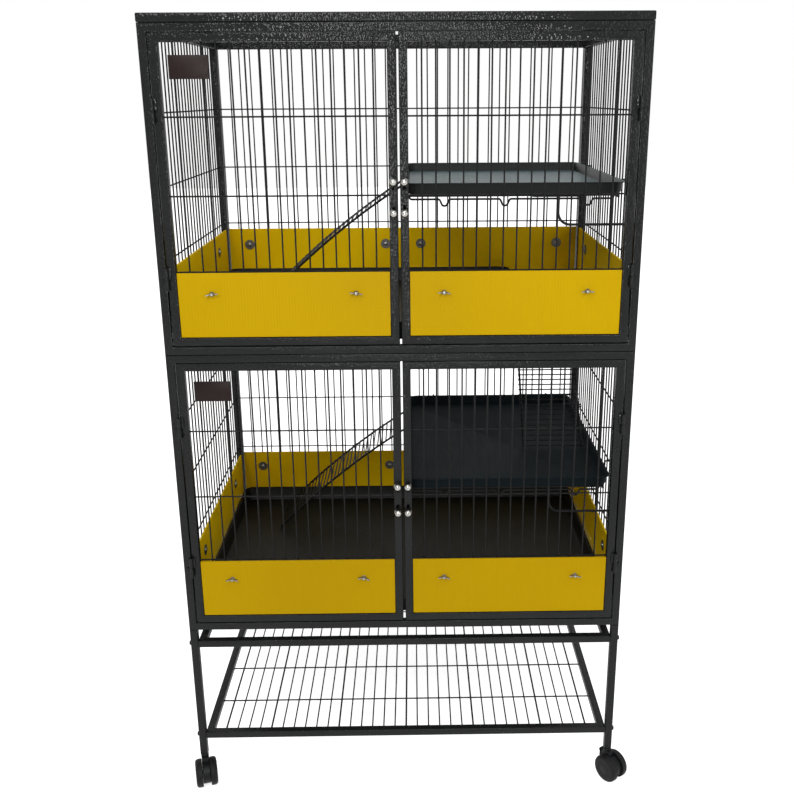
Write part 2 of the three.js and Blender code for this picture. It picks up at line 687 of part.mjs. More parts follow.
// A ladder of rungs on two rails that rise by `arch` in the middle. It hooks on a rod at the origin and runs
// from there along -x.
function ramp(arch) {
  const height = (s) => HOOK_R + (4 * arch * s * (RAMP_LENGTH - s)) / RAMP_LENGTH ** 2;
  const hook = Array.from({ length: HOOK_STEPS }, (_, k) => {
    const angle = HOOK_SWEEP * (1 - k / HOOK_STEPS);
    return [HOOK_R * Math.sin(angle), HOOK_R * Math.cos(angle)];
  });
  const steps = arch > 0 ? RAMP_STEPS : 1;
  const slope = Array.from({ length: steps + 1 }, (_, k) => {
    const s = (RAMP_LENGTH * k) / steps;
    return [-s, height(s)];
  });
  const rails = [-1, 1].map((side) =>
    bentRod([...hook, ...slope].map(([x, z]) => [x, (side * RAMP_WIDTH) / 2, z]), ROD_R, ROD_SIDES),
  );
  const railHeight = (s) => {
    const step = RAMP_LENGTH / steps;
    const k = Math.min(Math.floor(s / step), steps - 1);
    const share = s / step - k;
    return height(k * step) * (1 - share) + height((k + 1) * step) * share;
  };
  const count = Math.floor(RAMP_LENGTH / RUNG_PITCH);
  const rungs = Array.from({ length: count }, (_, i) => {
    const s = RAMP_LENGTH - ROD_R - i * RUNG_PITCH;
    return bar([-s, -RAMP_WIDTH / 2, railHeight(s)], [-s, RAMP_WIDTH / 2, railHeight(s)], RUNG_R, RUNG_SIDES);
  });
  return joined([...rails, ...rungs]);
}

// The angle at which a ramp's lower end comes to rest `drop` below the rod that it hooks on.
function rampAngle(drop) {
  const lean = Math.atan2(HOOK_R, RAMP_LENGTH);
  return lean + Math.asin(drop / Math.hypot(RAMP_LENGTH, HOOK_R));
}

// ---- Stand and casters ----

function leg() {
  const half = TUBE / 2;
  const tube = block(-half, half, -half, half, LEG_BOTTOM, STAND_HEIGHT);
  const socket = bar(
    [0, 0, LEG_BOTTOM - 1],
    [0, 0, COLLAR_Z + STEM_LENGTH + SEAT],
    roundedUp(STEM_R + SEAT, STEM_SIDES),
    STEM_SIDES,
  );
  return cut(solidOf(tube), [socket]);
}

const STAND_WIDTH = CAGE_WIDTH - 2 * TUBE - 2 * SEAT;

function standShelf() {
  const clear = CAGE_DEPTH;
  return wirePanel({
    width: STAND_WIDTH,
    height: CAGE_DEPTH,
    uprights: 2 * Math.round((STAND_WIDTH - 2 * TUBE) / WIRE_PITCH / 2) - 1,
    crossHeights: Array.from({ length: STAND_CROSSES }, (_, i) => (clear * (i + 1)) / (STAND_CROSSES + 1)),
    crossSide: 1,
    sides: WIRE_SIDES,
    thickEvery: STAND_THICK_EVERY,
  });
}

// A caster stands round its swivel axis, which is the z axis, and trails towards -y.
function fork(hasBrake) {
  const half = WHEEL_SPACE / 2 - SEAT;
  const disc = bar([-half, -CASTER_TRAIL, AXLE_Z], [half, -CASTER_TRAIL, AXLE_Z], FORK_R, FORK_SIDES);
  const neck = block(-half, half, -CASTER_TRAIL, NECK_HALF, AXLE_Z - NECK_HALF, COLLAR_Z - COLLAR_HEIGHT);
  const collar = bar([0, 0, COLLAR_Z - 2 * COLLAR_HEIGHT], [0, 0, COLLAR_Z], COLLAR_R, FORK_SIDES);
  const stem = bar([0, 0, COLLAR_Z - COLLAR_HEIGHT], [0, 0, COLLAR_Z + STEM_LENGTH], STEM_R, STEM_SIDES);
  const axleHole = bar(
    [-half - 1, -CASTER_TRAIL, AXLE_Z],
    [half + 1, -CASTER_TRAIL, AXLE_Z],
    roundedUp(AXLE_R + SEAT, STEM_SIDES),
    STEM_SIDES,
  );
  const brakeSeat = bar(
    [-half - 1, BRAKE_PIVOT_BACK, BRAKE_PIVOT_Z],
    [half + 1, BRAKE_PIVOT_BACK, BRAKE_PIVOT_Z],
    roundedUp(BRAKE_KNUCKLE_R + SEAT, STEM_SIDES),
    STEM_SIDES,
  );
  return cut(joined([disc, neck, collar, stem]), hasBrake ? [axleHole, brakeSeat] : [axleHole]);
}

// Both wheels and their axle, as one revolve about the axle.
function wheelPair() {
  const inner = WHEEL_SPACE / 2;
  const outer = inner + WHEEL_WIDTH;
  const rim = roundedUp(WHEEL_R, WHEEL_SIDES);
  const half = [
    [AXLE_R, inner],
    [rim, inner],
    [rim, outer - TREAD_ROUND],
    [rim - TREAD_ROUND, outer],
    [0, outer],
  ];
  const mirrored = half.map(([r, x]) => [r, -x]).reverse();
  const profile = [...mirrored, ...half].map(([r, x]) => new THREE.Vector2(r, x));
  const lathe = new THREE.LatheGeometry(profile, WHEEL_SIDES, Math.PI / WHEEL_SIDES);
  return solidOf(lathe.rotateZ(-Math.PI / 2).translate(0, -CASTER_TRAIL, AXLE_Z));
}

// A pedal on a knuckle in the back of the neck. Pressed down, it would lock the wheels.
function brake() {
  const half = WHEEL_SPACE / 2 - SEAT;
  const end = BRAKE_LENGTH;
  return joined([
    bar([-half, 0, 0], [half, 0, 0], BRAKE_KNUCKLE_R, STEM_SIDES),
    block(-half, half, 0, BRAKE_THICK, 0, end * 0.8),
    block(-half - 2, half + 2, 0, BRAKE_THICK, end * 0.65, end),
  ]).translate(0, BRAKE_PIVOT_BACK, BRAKE_PIVOT_Z);
}

// ---- Assembly ----

const cage = new THREE.Group();

function place(parent, name, shape, material, position = [0, 0, 0], rotation = [0, 0, 0]) {
  const geometry = shape.isBufferGeometry ? shape : geometryOf(shape);
  const mesh = new THREE.Mesh(geometry, material());
  mesh.name = name;
  mesh.position.set(...position);
  mesh.rotation.set(...rotation);
  parent.add(mesh);
}

function addStand() {
  const stand = new THREE.Group();
  for (const [end, y] of [['front', -LEG_Y], ['back', LEG_Y]]) {
    for (const [side, x] of [['left', -LEG_X], ['right', LEG_X]]) {
      place(stand, `leg_${end}_${side}`, leg(), POWDER_COAT, [x, y, 0]);
      const caster = new THREE.Group();
      caster.position.set(x, y, 0);
      caster.rotation.z = THREE.MathUtils.degToRad(CASTER_TURNS[`${end}_${side}`]);
      const hasBrake = end === 'front' && side === 'right';
      place(caster, `caster_${end}_${side}_fork`, fork(hasBrake), CASTER_NYLON);
      place(caster, `caster_${end}_${side}_wheels`, wheelPair(), CASTER_NYLON);
      if (hasBrake) place(caster, `caster_${end}_${side}_brake`, brake(), CASTER_NYLON);
      stand.add(caster);
    }
  }
  const flat = [-Math.PI / 2, 0, 0];
  const ring = tubeRing(STAND_WIDTH, CAGE_DEPTH);
  place(stand, 'stand_top_frame', ring, POWDER_COAT, [0, FRONT, STAND_TOP_FRAME + TUBE], flat);
  place(stand, 'stand_shelf', standShelf(), POWDER_COAT, [0, FRONT, STAND_SHELF + TUBE], flat);
  cage.add(stand);
}

function addDoor(tier, name, side) {
  const sideName = side < 0 ? 'left' : 'right';
  const hung = new THREE.Group();
  hung.position.set(side * DOOR_MIDDLE_X, FRONT, DOOR_BOTTOM);
  place(hung, `${name}_${sideName}_door`, door(side), POWDER_COAT);
  place(hung, `${name}_${sideName}_latch_top`, latch(side, 1), CHROME);
  place(hung, `${name}_${sideName}_latch_bottom`, latch(side, -1), CHROME);
  place(hung, `${name}_front_${sideName}_guard`, doorGuard(), GUARD_PLASTIC);
  tier.add(hung);
}

function addTier(name) {
  const tier = new THREE.Group();
  tier.position.z = TIER_BASES[name];
  const walls = {
    left: { width: SIDE_LENGTH, at: [-HALF_WIDTH, 0, 0], turn: [0, 0, -Math.PI / 2] },
    right: { width: SIDE_LENGTH, at: [HALF_WIDTH, 0, 0], turn: [0, 0, Math.PI / 2] },
    back: { width: CAGE_WIDTH, at: [0, BACK, 0], turn: [0, 0, Math.PI] },
  };
  place(tier, `${name}_front_frame`, frontFrame(), POWDER_COAT, [0, FRONT, 0]);
  for (const [wall, { width, at, turn }] of Object.entries(walls)) {
    place(tier, `${name}_${wall}_panel`, wallPanel(width), POWDER_COAT, at, turn);
    const reach = width / 2 - TUBE - GUARD_GAP;
    const halves = { back_left: [GUARD_GAP, reach], back_right: [-reach, -GUARD_GAP] };
    const spans = wall === 'back' ? halves : { [wall]: [-reach, reach] };
    for (const [span, [start, end]] of Object.entries(spans)) {
      place(tier, `${name}_${span}_guard`, wallGuard(start, end), GUARD_PLASTIC, at, turn);
    }
  }
  addDoor(tier, name, -1);
  addDoor(tier, name, 1);
  if (name === 'upper') {
    place(tier, `${name}_front_floor_grid`, floorGrid(GRID_FRONT, HOLE_FRONT), POWDER_COAT);
    place(tier, `${name}_floor_grid`, floorGrid(HOLE_FRONT + 2 * ROD_R + SEAT, GRID_BACK, true), POWDER_COAT);
  } else {
    place(tier, `${name}_floor_grid`, floorGrid(GRID_FRONT, GRID_BACK), POWDER_COAT);
  }
  place(tier, `${name}_floor_pan`, floorPan(name === 'upper'), PAN_PLASTIC);
  place(tier, `${name}_shelf_frame`, shelfFrame(), POWDER_COAT);
  place(tier, `${name}_shelf_tray`, shelfTray(), SHELF_PLASTIC);
  const shelfRampDrop = SHELF_ROD_Z - (PAN_FLOOR + SEAT + ROD_R);
  const hookAt = [TRAY_LEFT + SHELF_LEFT_ROD, BACK - RAMP_MIDDLES[name], SHELF_ROD_Z];
  place(tier, `${name}_ramp`, ramp(RAMP_ARCH), POWDER_COAT, hookAt, [0, -rampAngle(shelfRampDrop), 0]);
  cage.add(tier);
}

function addTierRamp() {
  const hookZ = TIER_BASES.upper + GRID_CROSS_Z;
  const restZ = TIER_BASES.lower + TRAY_FLOOR + SEAT + ROD_R;
  const hanger = new THREE.Group();
  hanger.position.set(HALF_WIDTH - TIER_RAMP_MIDDLE, HOLE_BACK, hookZ);
  hanger.rotation.z = Math.PI / 2;
  place(hanger, 'tier_ramp', ramp(0), POWDER_COAT, [0, 0, 0], [0, -rampAngle(hookZ - restZ), 0]);
  cage.add(hanger);
}

function addTopPanel() {
  const panel = wirePanel({
    width: CAGE_WIDTH,
    height: CAGE_DEPTH,
    crossHeights: [1, 2, 3].map((i) => (CAGE_DEPTH * i) / 4),
    crossSide: 1,
    sides: WIRE_SIDES,
  });
  place(cage, 'top_panel', panel, POWDER_COAT, [0, FRONT, TOP_HEIGHT], [-Math.PI / 2, 0, 0]);
}

addStand();
addTier('lower');
addTier('upper');
addTierRamp();
addTopPanel();

export default cage;
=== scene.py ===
"""Looks of the two-tier ferret cage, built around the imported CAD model."""

import json
import math
import random

import bmesh
import bpy
from mathutils import Matrix, Vector

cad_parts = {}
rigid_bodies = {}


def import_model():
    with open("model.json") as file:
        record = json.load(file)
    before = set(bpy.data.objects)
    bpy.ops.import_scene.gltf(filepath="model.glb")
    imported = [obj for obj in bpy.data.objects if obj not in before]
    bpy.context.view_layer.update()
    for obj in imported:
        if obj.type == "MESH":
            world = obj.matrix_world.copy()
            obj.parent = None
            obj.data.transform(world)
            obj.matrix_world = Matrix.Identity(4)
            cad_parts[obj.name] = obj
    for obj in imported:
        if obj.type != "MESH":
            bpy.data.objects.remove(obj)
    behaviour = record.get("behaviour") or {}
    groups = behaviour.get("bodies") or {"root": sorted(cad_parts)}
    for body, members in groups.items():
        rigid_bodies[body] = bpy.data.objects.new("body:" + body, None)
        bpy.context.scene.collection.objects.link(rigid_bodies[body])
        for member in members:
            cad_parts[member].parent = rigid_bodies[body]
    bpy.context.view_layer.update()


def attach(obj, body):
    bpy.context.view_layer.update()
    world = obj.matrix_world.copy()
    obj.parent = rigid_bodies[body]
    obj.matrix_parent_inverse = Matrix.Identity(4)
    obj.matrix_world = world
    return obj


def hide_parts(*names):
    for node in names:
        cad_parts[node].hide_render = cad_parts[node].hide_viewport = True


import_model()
random.seed(7)

# ---- Sizes of the cage in millimetres, as in the solids ----

CAGE_WIDTH = 914
CAGE_DEPTH = 635
TIER_HEIGHT = 605
TUBE = 16
TUBE_CORNER_R = 2.2
TUBE_CORNER_STEPS = 3
SEAT = 0.3
WIRE_R = 1.6
WIRE_STEP = 2 * WIRE_R + SEAT
WIRE_SET = 4
WIRE_PITCH = 25.4
WIRE_BOW = 0.7
SHARPEST_MITER = 1.15
DOME_SHARE = 0.35
BEND_R = 3
BEND_STEPS = 4
ROD_R = 2.5
WELD_STEP = 3.2
FRONT = -CAGE_DEPTH / 2
BACK = CAGE_DEPTH / 2
HALF = CAGE_WIDTH / 2
SIDE_LENGTH = CAGE_DEPTH - 2 * TUBE - 2 * SEAT
DOOR_GAP = 2
DOOR_SPLIT = 4.5
DOOR_WIDTH = (CAGE_WIDTH - 2 * TUBE - 2 * DOOR_GAP - DOOR_SPLIT) / 2
DOOR_HEIGHT = TIER_HEIGHT - 2 * TUBE - 2 * DOOR_GAP
DOOR_BOTTOM = TUBE + DOOR_GAP
DOOR_MIDDLE_X = (DOOR_SPLIT + DOOR_WIDTH) / 2
HINGE_X = HALF - TUBE - DOOR_GAP / 2
KNUCKLE_R = 4
HINGE_Y = -(KNUCKLE_R + SEAT)
KNUCKLE_LENGTH = 22
KNUCKLE_BORE_R = 2.1
KNUCKLE_SIDES = 20
PIN_R = 1.8
LEAF_REACH = 8
HINGE_FROM_END = 131
HINGE_HEIGHTS = (HINGE_FROM_END, DOOR_HEIGHT - HINGE_FROM_END)
DOOR_CROSS_STEP = 142
# The door's ring is drawn this much taller than the solid, which closes a slit of light above it.
DOOR_EXTRA = 1.4
LATCH_TRAVEL = 12
LATCH_SPREAD = 57
LATCH_LOW = 3
LATCH_STEM_R = 2.5
LATCH_ROD_R = 3.2
KNOB_R = 8
KNOB_STANDS = 9
STILE_BORE = 11
GUARD_THICK = 4
GUARD_HEIGHT = 125
GUARD_TOP = 160
FLUTE_PITCH = 6
FLUTE_DEPTH = 0.14
GUARD_BOLT_Z = 120
GUARD_BOLT_R = 2.2
DOOR_BOLTS = (84, 358)
BACK_BOLTS = (44.5, 390)
SIDE_BOLTS = (182.5, -182.5)
WALL_CROSSES = [TIER_HEIGHT - 154 - i * 138.5 for i in range(4)]
STAND_HEIGHT = 384
BASES = {"lower": STAND_HEIGHT + SEAT, "upper": STAND_HEIGHT + TIER_HEIGHT + 2 * SEAT}
TOP_HEIGHT = BASES["upper"] + TIER_HEIGHT + SEAT + TUBE
GRID_FRONT = FRONT + 2 * TUBE + 6
GRID_BACK = BACK - 2 * TUBE - 6
GRID_HALF = HALF - TUBE + 2.2
GRID_ROD_Z = TUBE + SEAT + ROD_R
GRID_CROSS_Z = GRID_ROD_Z + WELD_STEP
GRID_WIRE_Z = GRID_ROD_Z + WIRE_STEP
GRID_WIRES = 36
ROD_END = 1.5
HOLE_LEFT = 267
HOLE_FRONT = 415
HOLE_BACK = 541
PAN_BOTTOM = GRID_CROSS_Z + ROD_R + SEAT
PAN_HEIGHT = 35
PAN_WALL = 1.5
PAN_ROOM = 1.5
PAN_CORNER_R = 22
CORNER_STEPS = 6
NOTCH_CORNER_R = 5
PAN_FLOOR = PAN_BOTTOM + PAN_WALL
SHELF_HEIGHT = 299
SHELF_CROSS_Z = SHELF_HEIGHT - SEAT - ROD_R
SHELF_ROD_Z = SHELF_CROSS_Z - WELD_STEP
TRAY_LEFT = 8
TRAY_RIGHT = HALF - TUBE - 7
TRAY_FRONT = FRONT + 46
TRAY_BACK = BACK - TUBE - 7
TRAY_HEIGHT = 22
TRAY_WALL = 2
TRAY_CORNER_R = 24
TRAY_LIP = 4
TRAY_FLOOR = SHELF_HEIGHT + TRAY_WALL
SHELF_EDGE = 14
SHELF_WIRES = 16
DIP_SPOTS = (0.174, 0.468, 0.872)
DIP_DEPTH = 12.5
BRACE_REACH = 139
BRACE_DROP = 57
BRACE_BEND_R = 24
HOOK_WIRE_R = 2
RAMP_LENGTH = 422
RAMP_WIDTH = 134
RAMP_ARCH = 13
RUNG_PITCH = 12.7
RUNG_OVERHANG = 4
TIER_RAMP_X = 343.5
RAMP_MIDDLES = {"lower": 497, "upper": 365}
HOOK_R = 2 * ROD_R + SEAT
LEG_X = HALF - TUBE / 2
LEG_Y = BACK - TUBE / 2
LEG_BOTTOM = 70
STAND_TOP_FRAME = 342
STAND_SHELF = 113
STAND_WIDTH = CAGE_WIDTH - 2 * TUBE - 2 * SEAT
CASTER_TURNS = {"front_left": 16, "front_right": 36, "back_left": 216, "back_right": 196}
CASTER_TRAIL = 14
WHEEL_R = 30
WHEEL_WIDTH = 15
WHEEL_SPACE = 17
COLLAR_Z = LEG_BOTTOM - SEAT
SHARP_DEGREES = 35

# ---- Camera, fitted to the photograph, and light ----

CAMERA_AT = (0.02648, FRONT / 1000 - 1.7339, 1.46635)
CAMERA_TURN = Vector((-0.28927, 0.007328, -0.013205))
FOCAL_PIXELS = 925.57
IMAGE_SIZE = 794
SENSOR_WIDTH = 36
FLOOR_REACH = 14
FLOOR_GLOW = 0.74
ROOM_LIGHT = 0.62

# ---- Mesh building ----


class Shape:
    """Vertices in millimetres and faces, with a flat or smooth finish for each face."""

    def __init__(self):
        self.verts = []
        self.faces = []
        self.smooth = []

    def add(self, verts, faces, smooth=True, move=None):
        start = len(self.verts)
        for v in verts:
            point = Vector(v)
            self.verts.append(move @ point if move else point)
        for i, face in enumerate(faces):
            self.faces.append([start + k for k in face])
            self.smooth.append(smooth if isinstance(smooth, bool) else smooth[i])


def quads(rows, n, closed=False):
    """Faces from each row of n points to the next row. `closed` joins the last row to the first."""
    faces = []
    for k in range(rows if closed else rows - 1):
        here, there = k * n, (k + 1) % rows * n
        for j in range(n):
            m = (j + 1) % n
            faces.append([here + j, here + m, there + m, there + j])
    return faces


def circle(radius, n):
    turns = (2 * math.pi * j / n for j in range(n))
    return [(radius * math.cos(t), radius * math.sin(t)) for t in turns]


def frame_path(points):
    """Directions, and a pair of sideways vectors at each point that don't twist along the path."""
    tangents = []
    for i, point in enumerate(points):
        before = point - points[i - 1] if i > 0 else points[1] - point
        after = points[i + 1] - point if i < len(points) - 1 else before
        tangents.append((before.normalized() + after.normalized()).normalized())
    guess = Vector((0, 0, 1)) if abs(tangents[0].z) < 0.9 else Vector((0, 1, 0))
    side = tangents[0].cross(guess).normalized()
    sides = []
    for t in tangents:
        side = (side - t * side.dot(t)).normalized()
        sides.append((side, t.cross(side).normalized()))
    return tangents, sides


def wire(shape, points, radius, n=8, domed=True):
    """A round rod through the points, with slightly domed ends."""
    points = [Vector(p) for p in points]
    tangents, sides = frame_path(points)
    radii = [radius] * len(points)
    for i in range(1, len(points) - 1):
        bend = (points[i] - points[i - 1]).normalized().dot((points[i + 1] - points[i]).normalized())
        miter = 1 / max(math.sqrt(max((1 + bend) / 2, 0.05)), 0.3)
        if miter < SHARPEST_MITER:
            radii[i] = radius * miter
    turns = circle(1, n)
    verts = [p + (a * c + b * s) * r for p, (a, b), r in zip(points, sides, radii) for c, s in turns]
    faces = quads(len(points), n)
    first, last = len(verts), (len(points) - 1) * n
    dome = radius * DOME_SHARE if domed else 0
    verts += [points[0] - tangents[0] * dome, points[-1] + tangents[-1] * dome]
    for j in range(n):
        m = (j + 1) % n
        faces.append([first, m, j])
        faces.append([first + 1, last + j, last + m])
    shape.add(verts, faces)


def bent_wire(shape, points, radius, n):
    """A rod through the points, with each corner rounded to an arc of about the bend's radius."""
    points = [Vector(p) for p in points]
    out = [points[0]]
    for before, here, after in zip(points, points[1:], points[2:]):
        back, on = before - here, after - here
        reach = min(BEND_R, back.length * 0.45, on.length * 0.45)
        start = here + back.normalized() * reach
        end = here + on.normalized() * reach
        for k in range(BEND_STEPS + 1):
            t = k / BEND_STEPS
            out.append(start.lerp(here, t).lerp(here.lerp(end, t), t))
    wire(shape, [*out, points[-1]], radius, n)


def tube_section():
    """Points round the square tube's section, and for each stretch whether it is a rounded corner."""
    points = []
    rounds = []
    flat = TUBE / 2 - TUBE_CORNER_R
    for q, (sx, sy) in enumerate(((1, 1), (-1, 1), (-1, -1), (1, -1))):
        for k in range(TUBE_CORNER_STEPS + 1):
            a = math.pi / 2 * (q + k / TUBE_CORNER_STEPS)
            points.append((sx * flat + TUBE_CORNER_R * math.cos(a), sy * flat + TUBE_CORNER_R * math.sin(a)))
            rounds.append(k < TUBE_CORNER_STEPS)
    return points, rounds


def ring(width, height):
    """A flat ring of square tube, mitred at its corners: x across, y inwards, z up."""
    section, rounds = tube_section()
    half = TUBE / 2
    verts = []
    for sx, sz in ((-1, -1), (1, -1), (1, 1), (-1, 1)):
        for a, b in section:
            verts.append((sx * (width / 2 - half + a), half + b, height / 2 + sz * (height / 2 - half + a)))
    shape = Shape()
    shape.add(verts, quads(4, len(section), True), rounds * 4)
    return shape


def post(shape, x, y, z0, z1):
    """An upright square tube with closed, chamfered ends."""
    section, rounds = tube_section()
    n = len(section)
    chamfer = 0.6
    drawn_in = 1 - chamfer / TUBE * 2
    levels = [(z0, drawn_in), (z0 + chamfer, 1), (z1 - chamfer, 1), (z1, drawn_in)]
    verts = [(x + a * s, y + b * s, z) for z, s in levels for a, b in section]
    faces = quads(len(levels), n) + [list(range(n))[::-1], [3 * n + j for j in range(n)]]
    flats = [False] * n
    shape.add(verts, faces, flats + rounds + flats + [False, False])


def lathe(shape, profile, n=24, move=None):
    """A round body about z. The profile runs from the lower pole or edge to the upper one as (radius, z)."""
    verts = []
    rows = []
    for r, z in profile:
        start = len(verts)
        verts += [(x, y, z) for x, y in circle(r, n)] if r else [(0, 0, z)]
        rows.append(list(range(start, len(verts))))
    faces = []
    for lower, upper in zip(rows, rows[1:]):
        for j in range(n):
            m = (j + 1) % n
            corners = [row[i % len(row)] for row, i in ((lower, j), (lower, m), (upper, m), (upper, j))]
            faces.append(list(dict.fromkeys(corners)))
    faces += [row for row in (rows[0][::-1], rows[-1]) if len(row) > 1]
    shape.add(verts, faces, True, move)


def slab(shape, x0, x1, y0, y1, z0, z1, bevel=0.4, move=None):
    """A box with chamfered edges."""
    bm = bmesh.new()
    bmesh.ops.create_cube(bm, size=1)
    bmesh.ops.scale(bm, vec=(x1 - x0, y1 - y0, z1 - z0), verts=bm.verts)
    bmesh.ops.translate(bm, vec=((x0 + x1) / 2, (y0 + y1) / 2, (z0 + z1) / 2), verts=bm.verts)
    bmesh.ops.bevel(bm, geom=bm.edges[:], offset=bevel, segments=2, affect="EDGES", profile=0.5)
    bm.verts.ensure_lookup_table()
    shape.add([v.co.copy() for v in bm.verts], [[v.index for v in f.verts] for f in bm.faces], False, move)
    bm.free()


def along(start, end):
    """A placement whose z axis runs from start towards end."""
    z = (Vector(end) - Vector(start)).normalized()
    return Matrix.Translation(Vector(start)) @ z.to_track_quat("Z", "Y").to_matrix().to_4x4()


def moved(x=0, y=0, z=0):
    return Matrix.Translation((x, y, z))


ORIGIN = (0, 0, 0)
ALONG_X = along(ORIGIN, (1, 0, 0))
OUTWARDS = along(ORIGIN, (0, -1, 0))
INWARDS = along(ORIGIN, (0, 1, 0))
MM = Matrix.Scale(0.001, 4)


def add_object(name, data):
    obj = bpy.data.objects.new(name, data)
    bpy.context.scene.collection.objects.link(obj)
    return obj


def piece(name, shape, material, body, place=Matrix.Identity(4), replaces=()):
    """Makes an object from a shape that is given in millimetres and placed in the cage's frame."""
    mesh = bpy.data.meshes.new(name)
    move = MM @ place
    mesh.from_pydata([move @ v for v in shape.verts], [], shape.faces)
    mesh.validate()
    mesh.polygons.foreach_set("use_smooth", shape.smooth)
    mesh.set_sharp_from_angle(angle=math.radians(SHARP_DEGREES))
    mesh.materials.append(material)
    obj = add_object(name, mesh)
    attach(obj, body)
    if replaces:
        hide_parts(*replaces)


# ---- Materials ----


class Nodes:
    """The emptied node tree of a material or a world, with short ways to add to it."""

    def __init__(self, owner):
        owner.use_nodes = True
        self.tree = owner.node_tree
        self.tree.nodes.clear()

    def feed(self, node, name, value):
        """Sets an input to a value or links it to a socket. None leaves it as it is."""
        if isinstance(value, bpy.types.NodeSocket):
            self.tree.links.new(value, node.inputs[name])
        elif value is not None:
            node.inputs[name].default_value = value

    def add(self, kind, **inputs):
        """A node with its inputs, whose names have _ in place of each space."""
        node = self.tree.nodes.new("ShaderNode" + kind)
        for name, value in inputs.items():
            self.feed(node, name.replace("_", " "), value)
        return node

    def math(self, operation, first, second):
        node = self.add("Math")
        node.operation = operation
        self.feed(node, 0, first)
        self.feed(node, 1, second)
        return node.outputs[0]

    def span(self, value, low, high, start=0.0, end=1.0):
        """The value's stretch from start to end, spread over low to high."""
        node = self.add("MapRange", Value=value, From_Min=start, From_Max=end, To_Min=low, To_Max=high)
        return node.outputs["Result"]

    def seen(self):
        """1 for rays from the camera, from reflections and through surfaces, and 0 for scattered light."""
        path = self.add("LightPath")
        rays = [path.outputs[f"Is {ray} Ray"] for ray in ("Camera", "Glossy", "Transmission")]
        return self.math("MAXIMUM", self.math("MAXIMUM", rays[0], rays[1]), rays[2])


class Paint(Nodes):
    """A material with one Principled shader that is fed by procedural textures."""

    def __init__(self, name):
        self.material = bpy.data.materials.new(name)
        super().__init__(self.material)
        self.shader = self.add("BsdfPrincipled")
        self.add("OutputMaterial", Surface=self.shader.outputs["BSDF"])
        self.at = self.coordinates((1, 1, 1))

    def finish(self, **inputs):
        for name, value in inputs.items():
            self.feed(self.shader, name.replace("_", " "), value)
        return self.material

    def coordinates(self, scale):
        where = self.add("TexCoord").outputs["Object"]
        return self.add("Mapping", Scale=scale, Vector=where).outputs["Vector"]

    def noise(self, scale, detail, roughness=0.5, at=None):
        at = self.at if at is None else at
        return self.add("TexNoise", Vector=at, Scale=scale, Detail=detail, Roughness=roughness).outputs["Fac"]

    def cells(self, scale):
        return self.add("TexVoronoi", Vector=self.at, Scale=scale)

    def bands(self, direction, scale, distortion, detail=2.0):
        node = self.add("TexWave", Vector=self.at, Scale=scale, Distortion=distortion, Detail=detail)
        node.bands_direction = direction
        return node.outputs["Fac"]

    def ramp(self, value, stops):
        node = self.add("ValToRGB", Fac=value)
        elements = node.color_ramp.elements
        while len(elements) < len(stops):
            elements.new(0.5)
        for element, (position, color) in zip(elements, stops):
            element.position = position
            element.color = (*color, 1)
        return node.outputs["Color"]

    def bump(self, height, strength, distance, normal=None):
        node = self.add("Bump", Strength=strength, Distance=distance, Height=height, Normal=normal)
        return node.outputs["Normal"]

    def mixed(self, share, first, second):
        node = self.add("Mix")
        node.data_type = "RGBA"
        self.feed(node, "Factor", share)
        for name, value in ((6, first), (7, second)):
            self.feed(node, name, (*value, 1) if isinstance(value, tuple) else value)
        return node.outputs[2]


PALE_DUST = (0.05, 0.05, 0.047)


def hammertone():
    """Charcoal powder coat that has drawn into small glossy dimples."""
    paint = Paint("hammertone_coat")
    cells = paint.cells(260)
    cells.feature = "SMOOTH_F1"
    paint.feed(cells, "Smoothness", 0.6)
    dimples = cells.outputs["Distance"]
    fine = paint.noise(900, 3)
    color = paint.ramp(
        fine, [(0.3, (0.004, 0.0045, 0.0044)), (0.62, (0.010, 0.0108, 0.0106)), (0.8, (0.018, 0.019, 0.0187))]
    )
    tint = paint.ramp(paint.noise(14, 2), [(0.35, (0.005, 0.0056, 0.0054)), (0.7, (0.010, 0.0108, 0.0106))])
    coated = paint.mixed(paint.span(dimples, 0.3, 0.7, 0.0, 0.7), color, tint)
    glint = paint.span(paint.noise(520, 2, 0.7), 0.0, 0.55, 0.63, 0.72)
    lumps = paint.cells(230).outputs["Distance"]
    return paint.finish(
        Base_Color=paint.mixed(glint, coated, (0.11, 0.11, 0.113)),
        Roughness=paint.span(fine, 0.38, 0.54),
        Specular_IOR_Level=0.03,
        Coat_Weight=0.26,
        Coat_Roughness=0.07,
        Coat_Normal=paint.bump(lumps, 1.0, 0.0007),
        Normal=paint.bump(fine, 0.2, 0.0003, paint.bump(dimples, 0.4, 0.0005)),
    )


def wire_coat():
    """The same coat on thin wire, where the dimples hardly show."""
    paint = Paint("wire_coat")
    fine = paint.noise(420, 3)
    color = paint.ramp(fine, [(0.3, (0.003, 0.0032, 0.0032)), (0.75, (0.009, 0.0095, 0.0095))])
    pale = paint.span(paint.noise(30, 2), 0.0, 0.5, 0.45, 0.75)
    return paint.finish(
        Base_Color=paint.mixed(pale, color, (0.011, 0.0115, 0.0115)),
        Roughness=paint.span(fine, 0.42, 0.6),
        Specular_IOR_Level=0.12,
        Normal=paint.bump(fine, 0.3, 0.0003),
    )


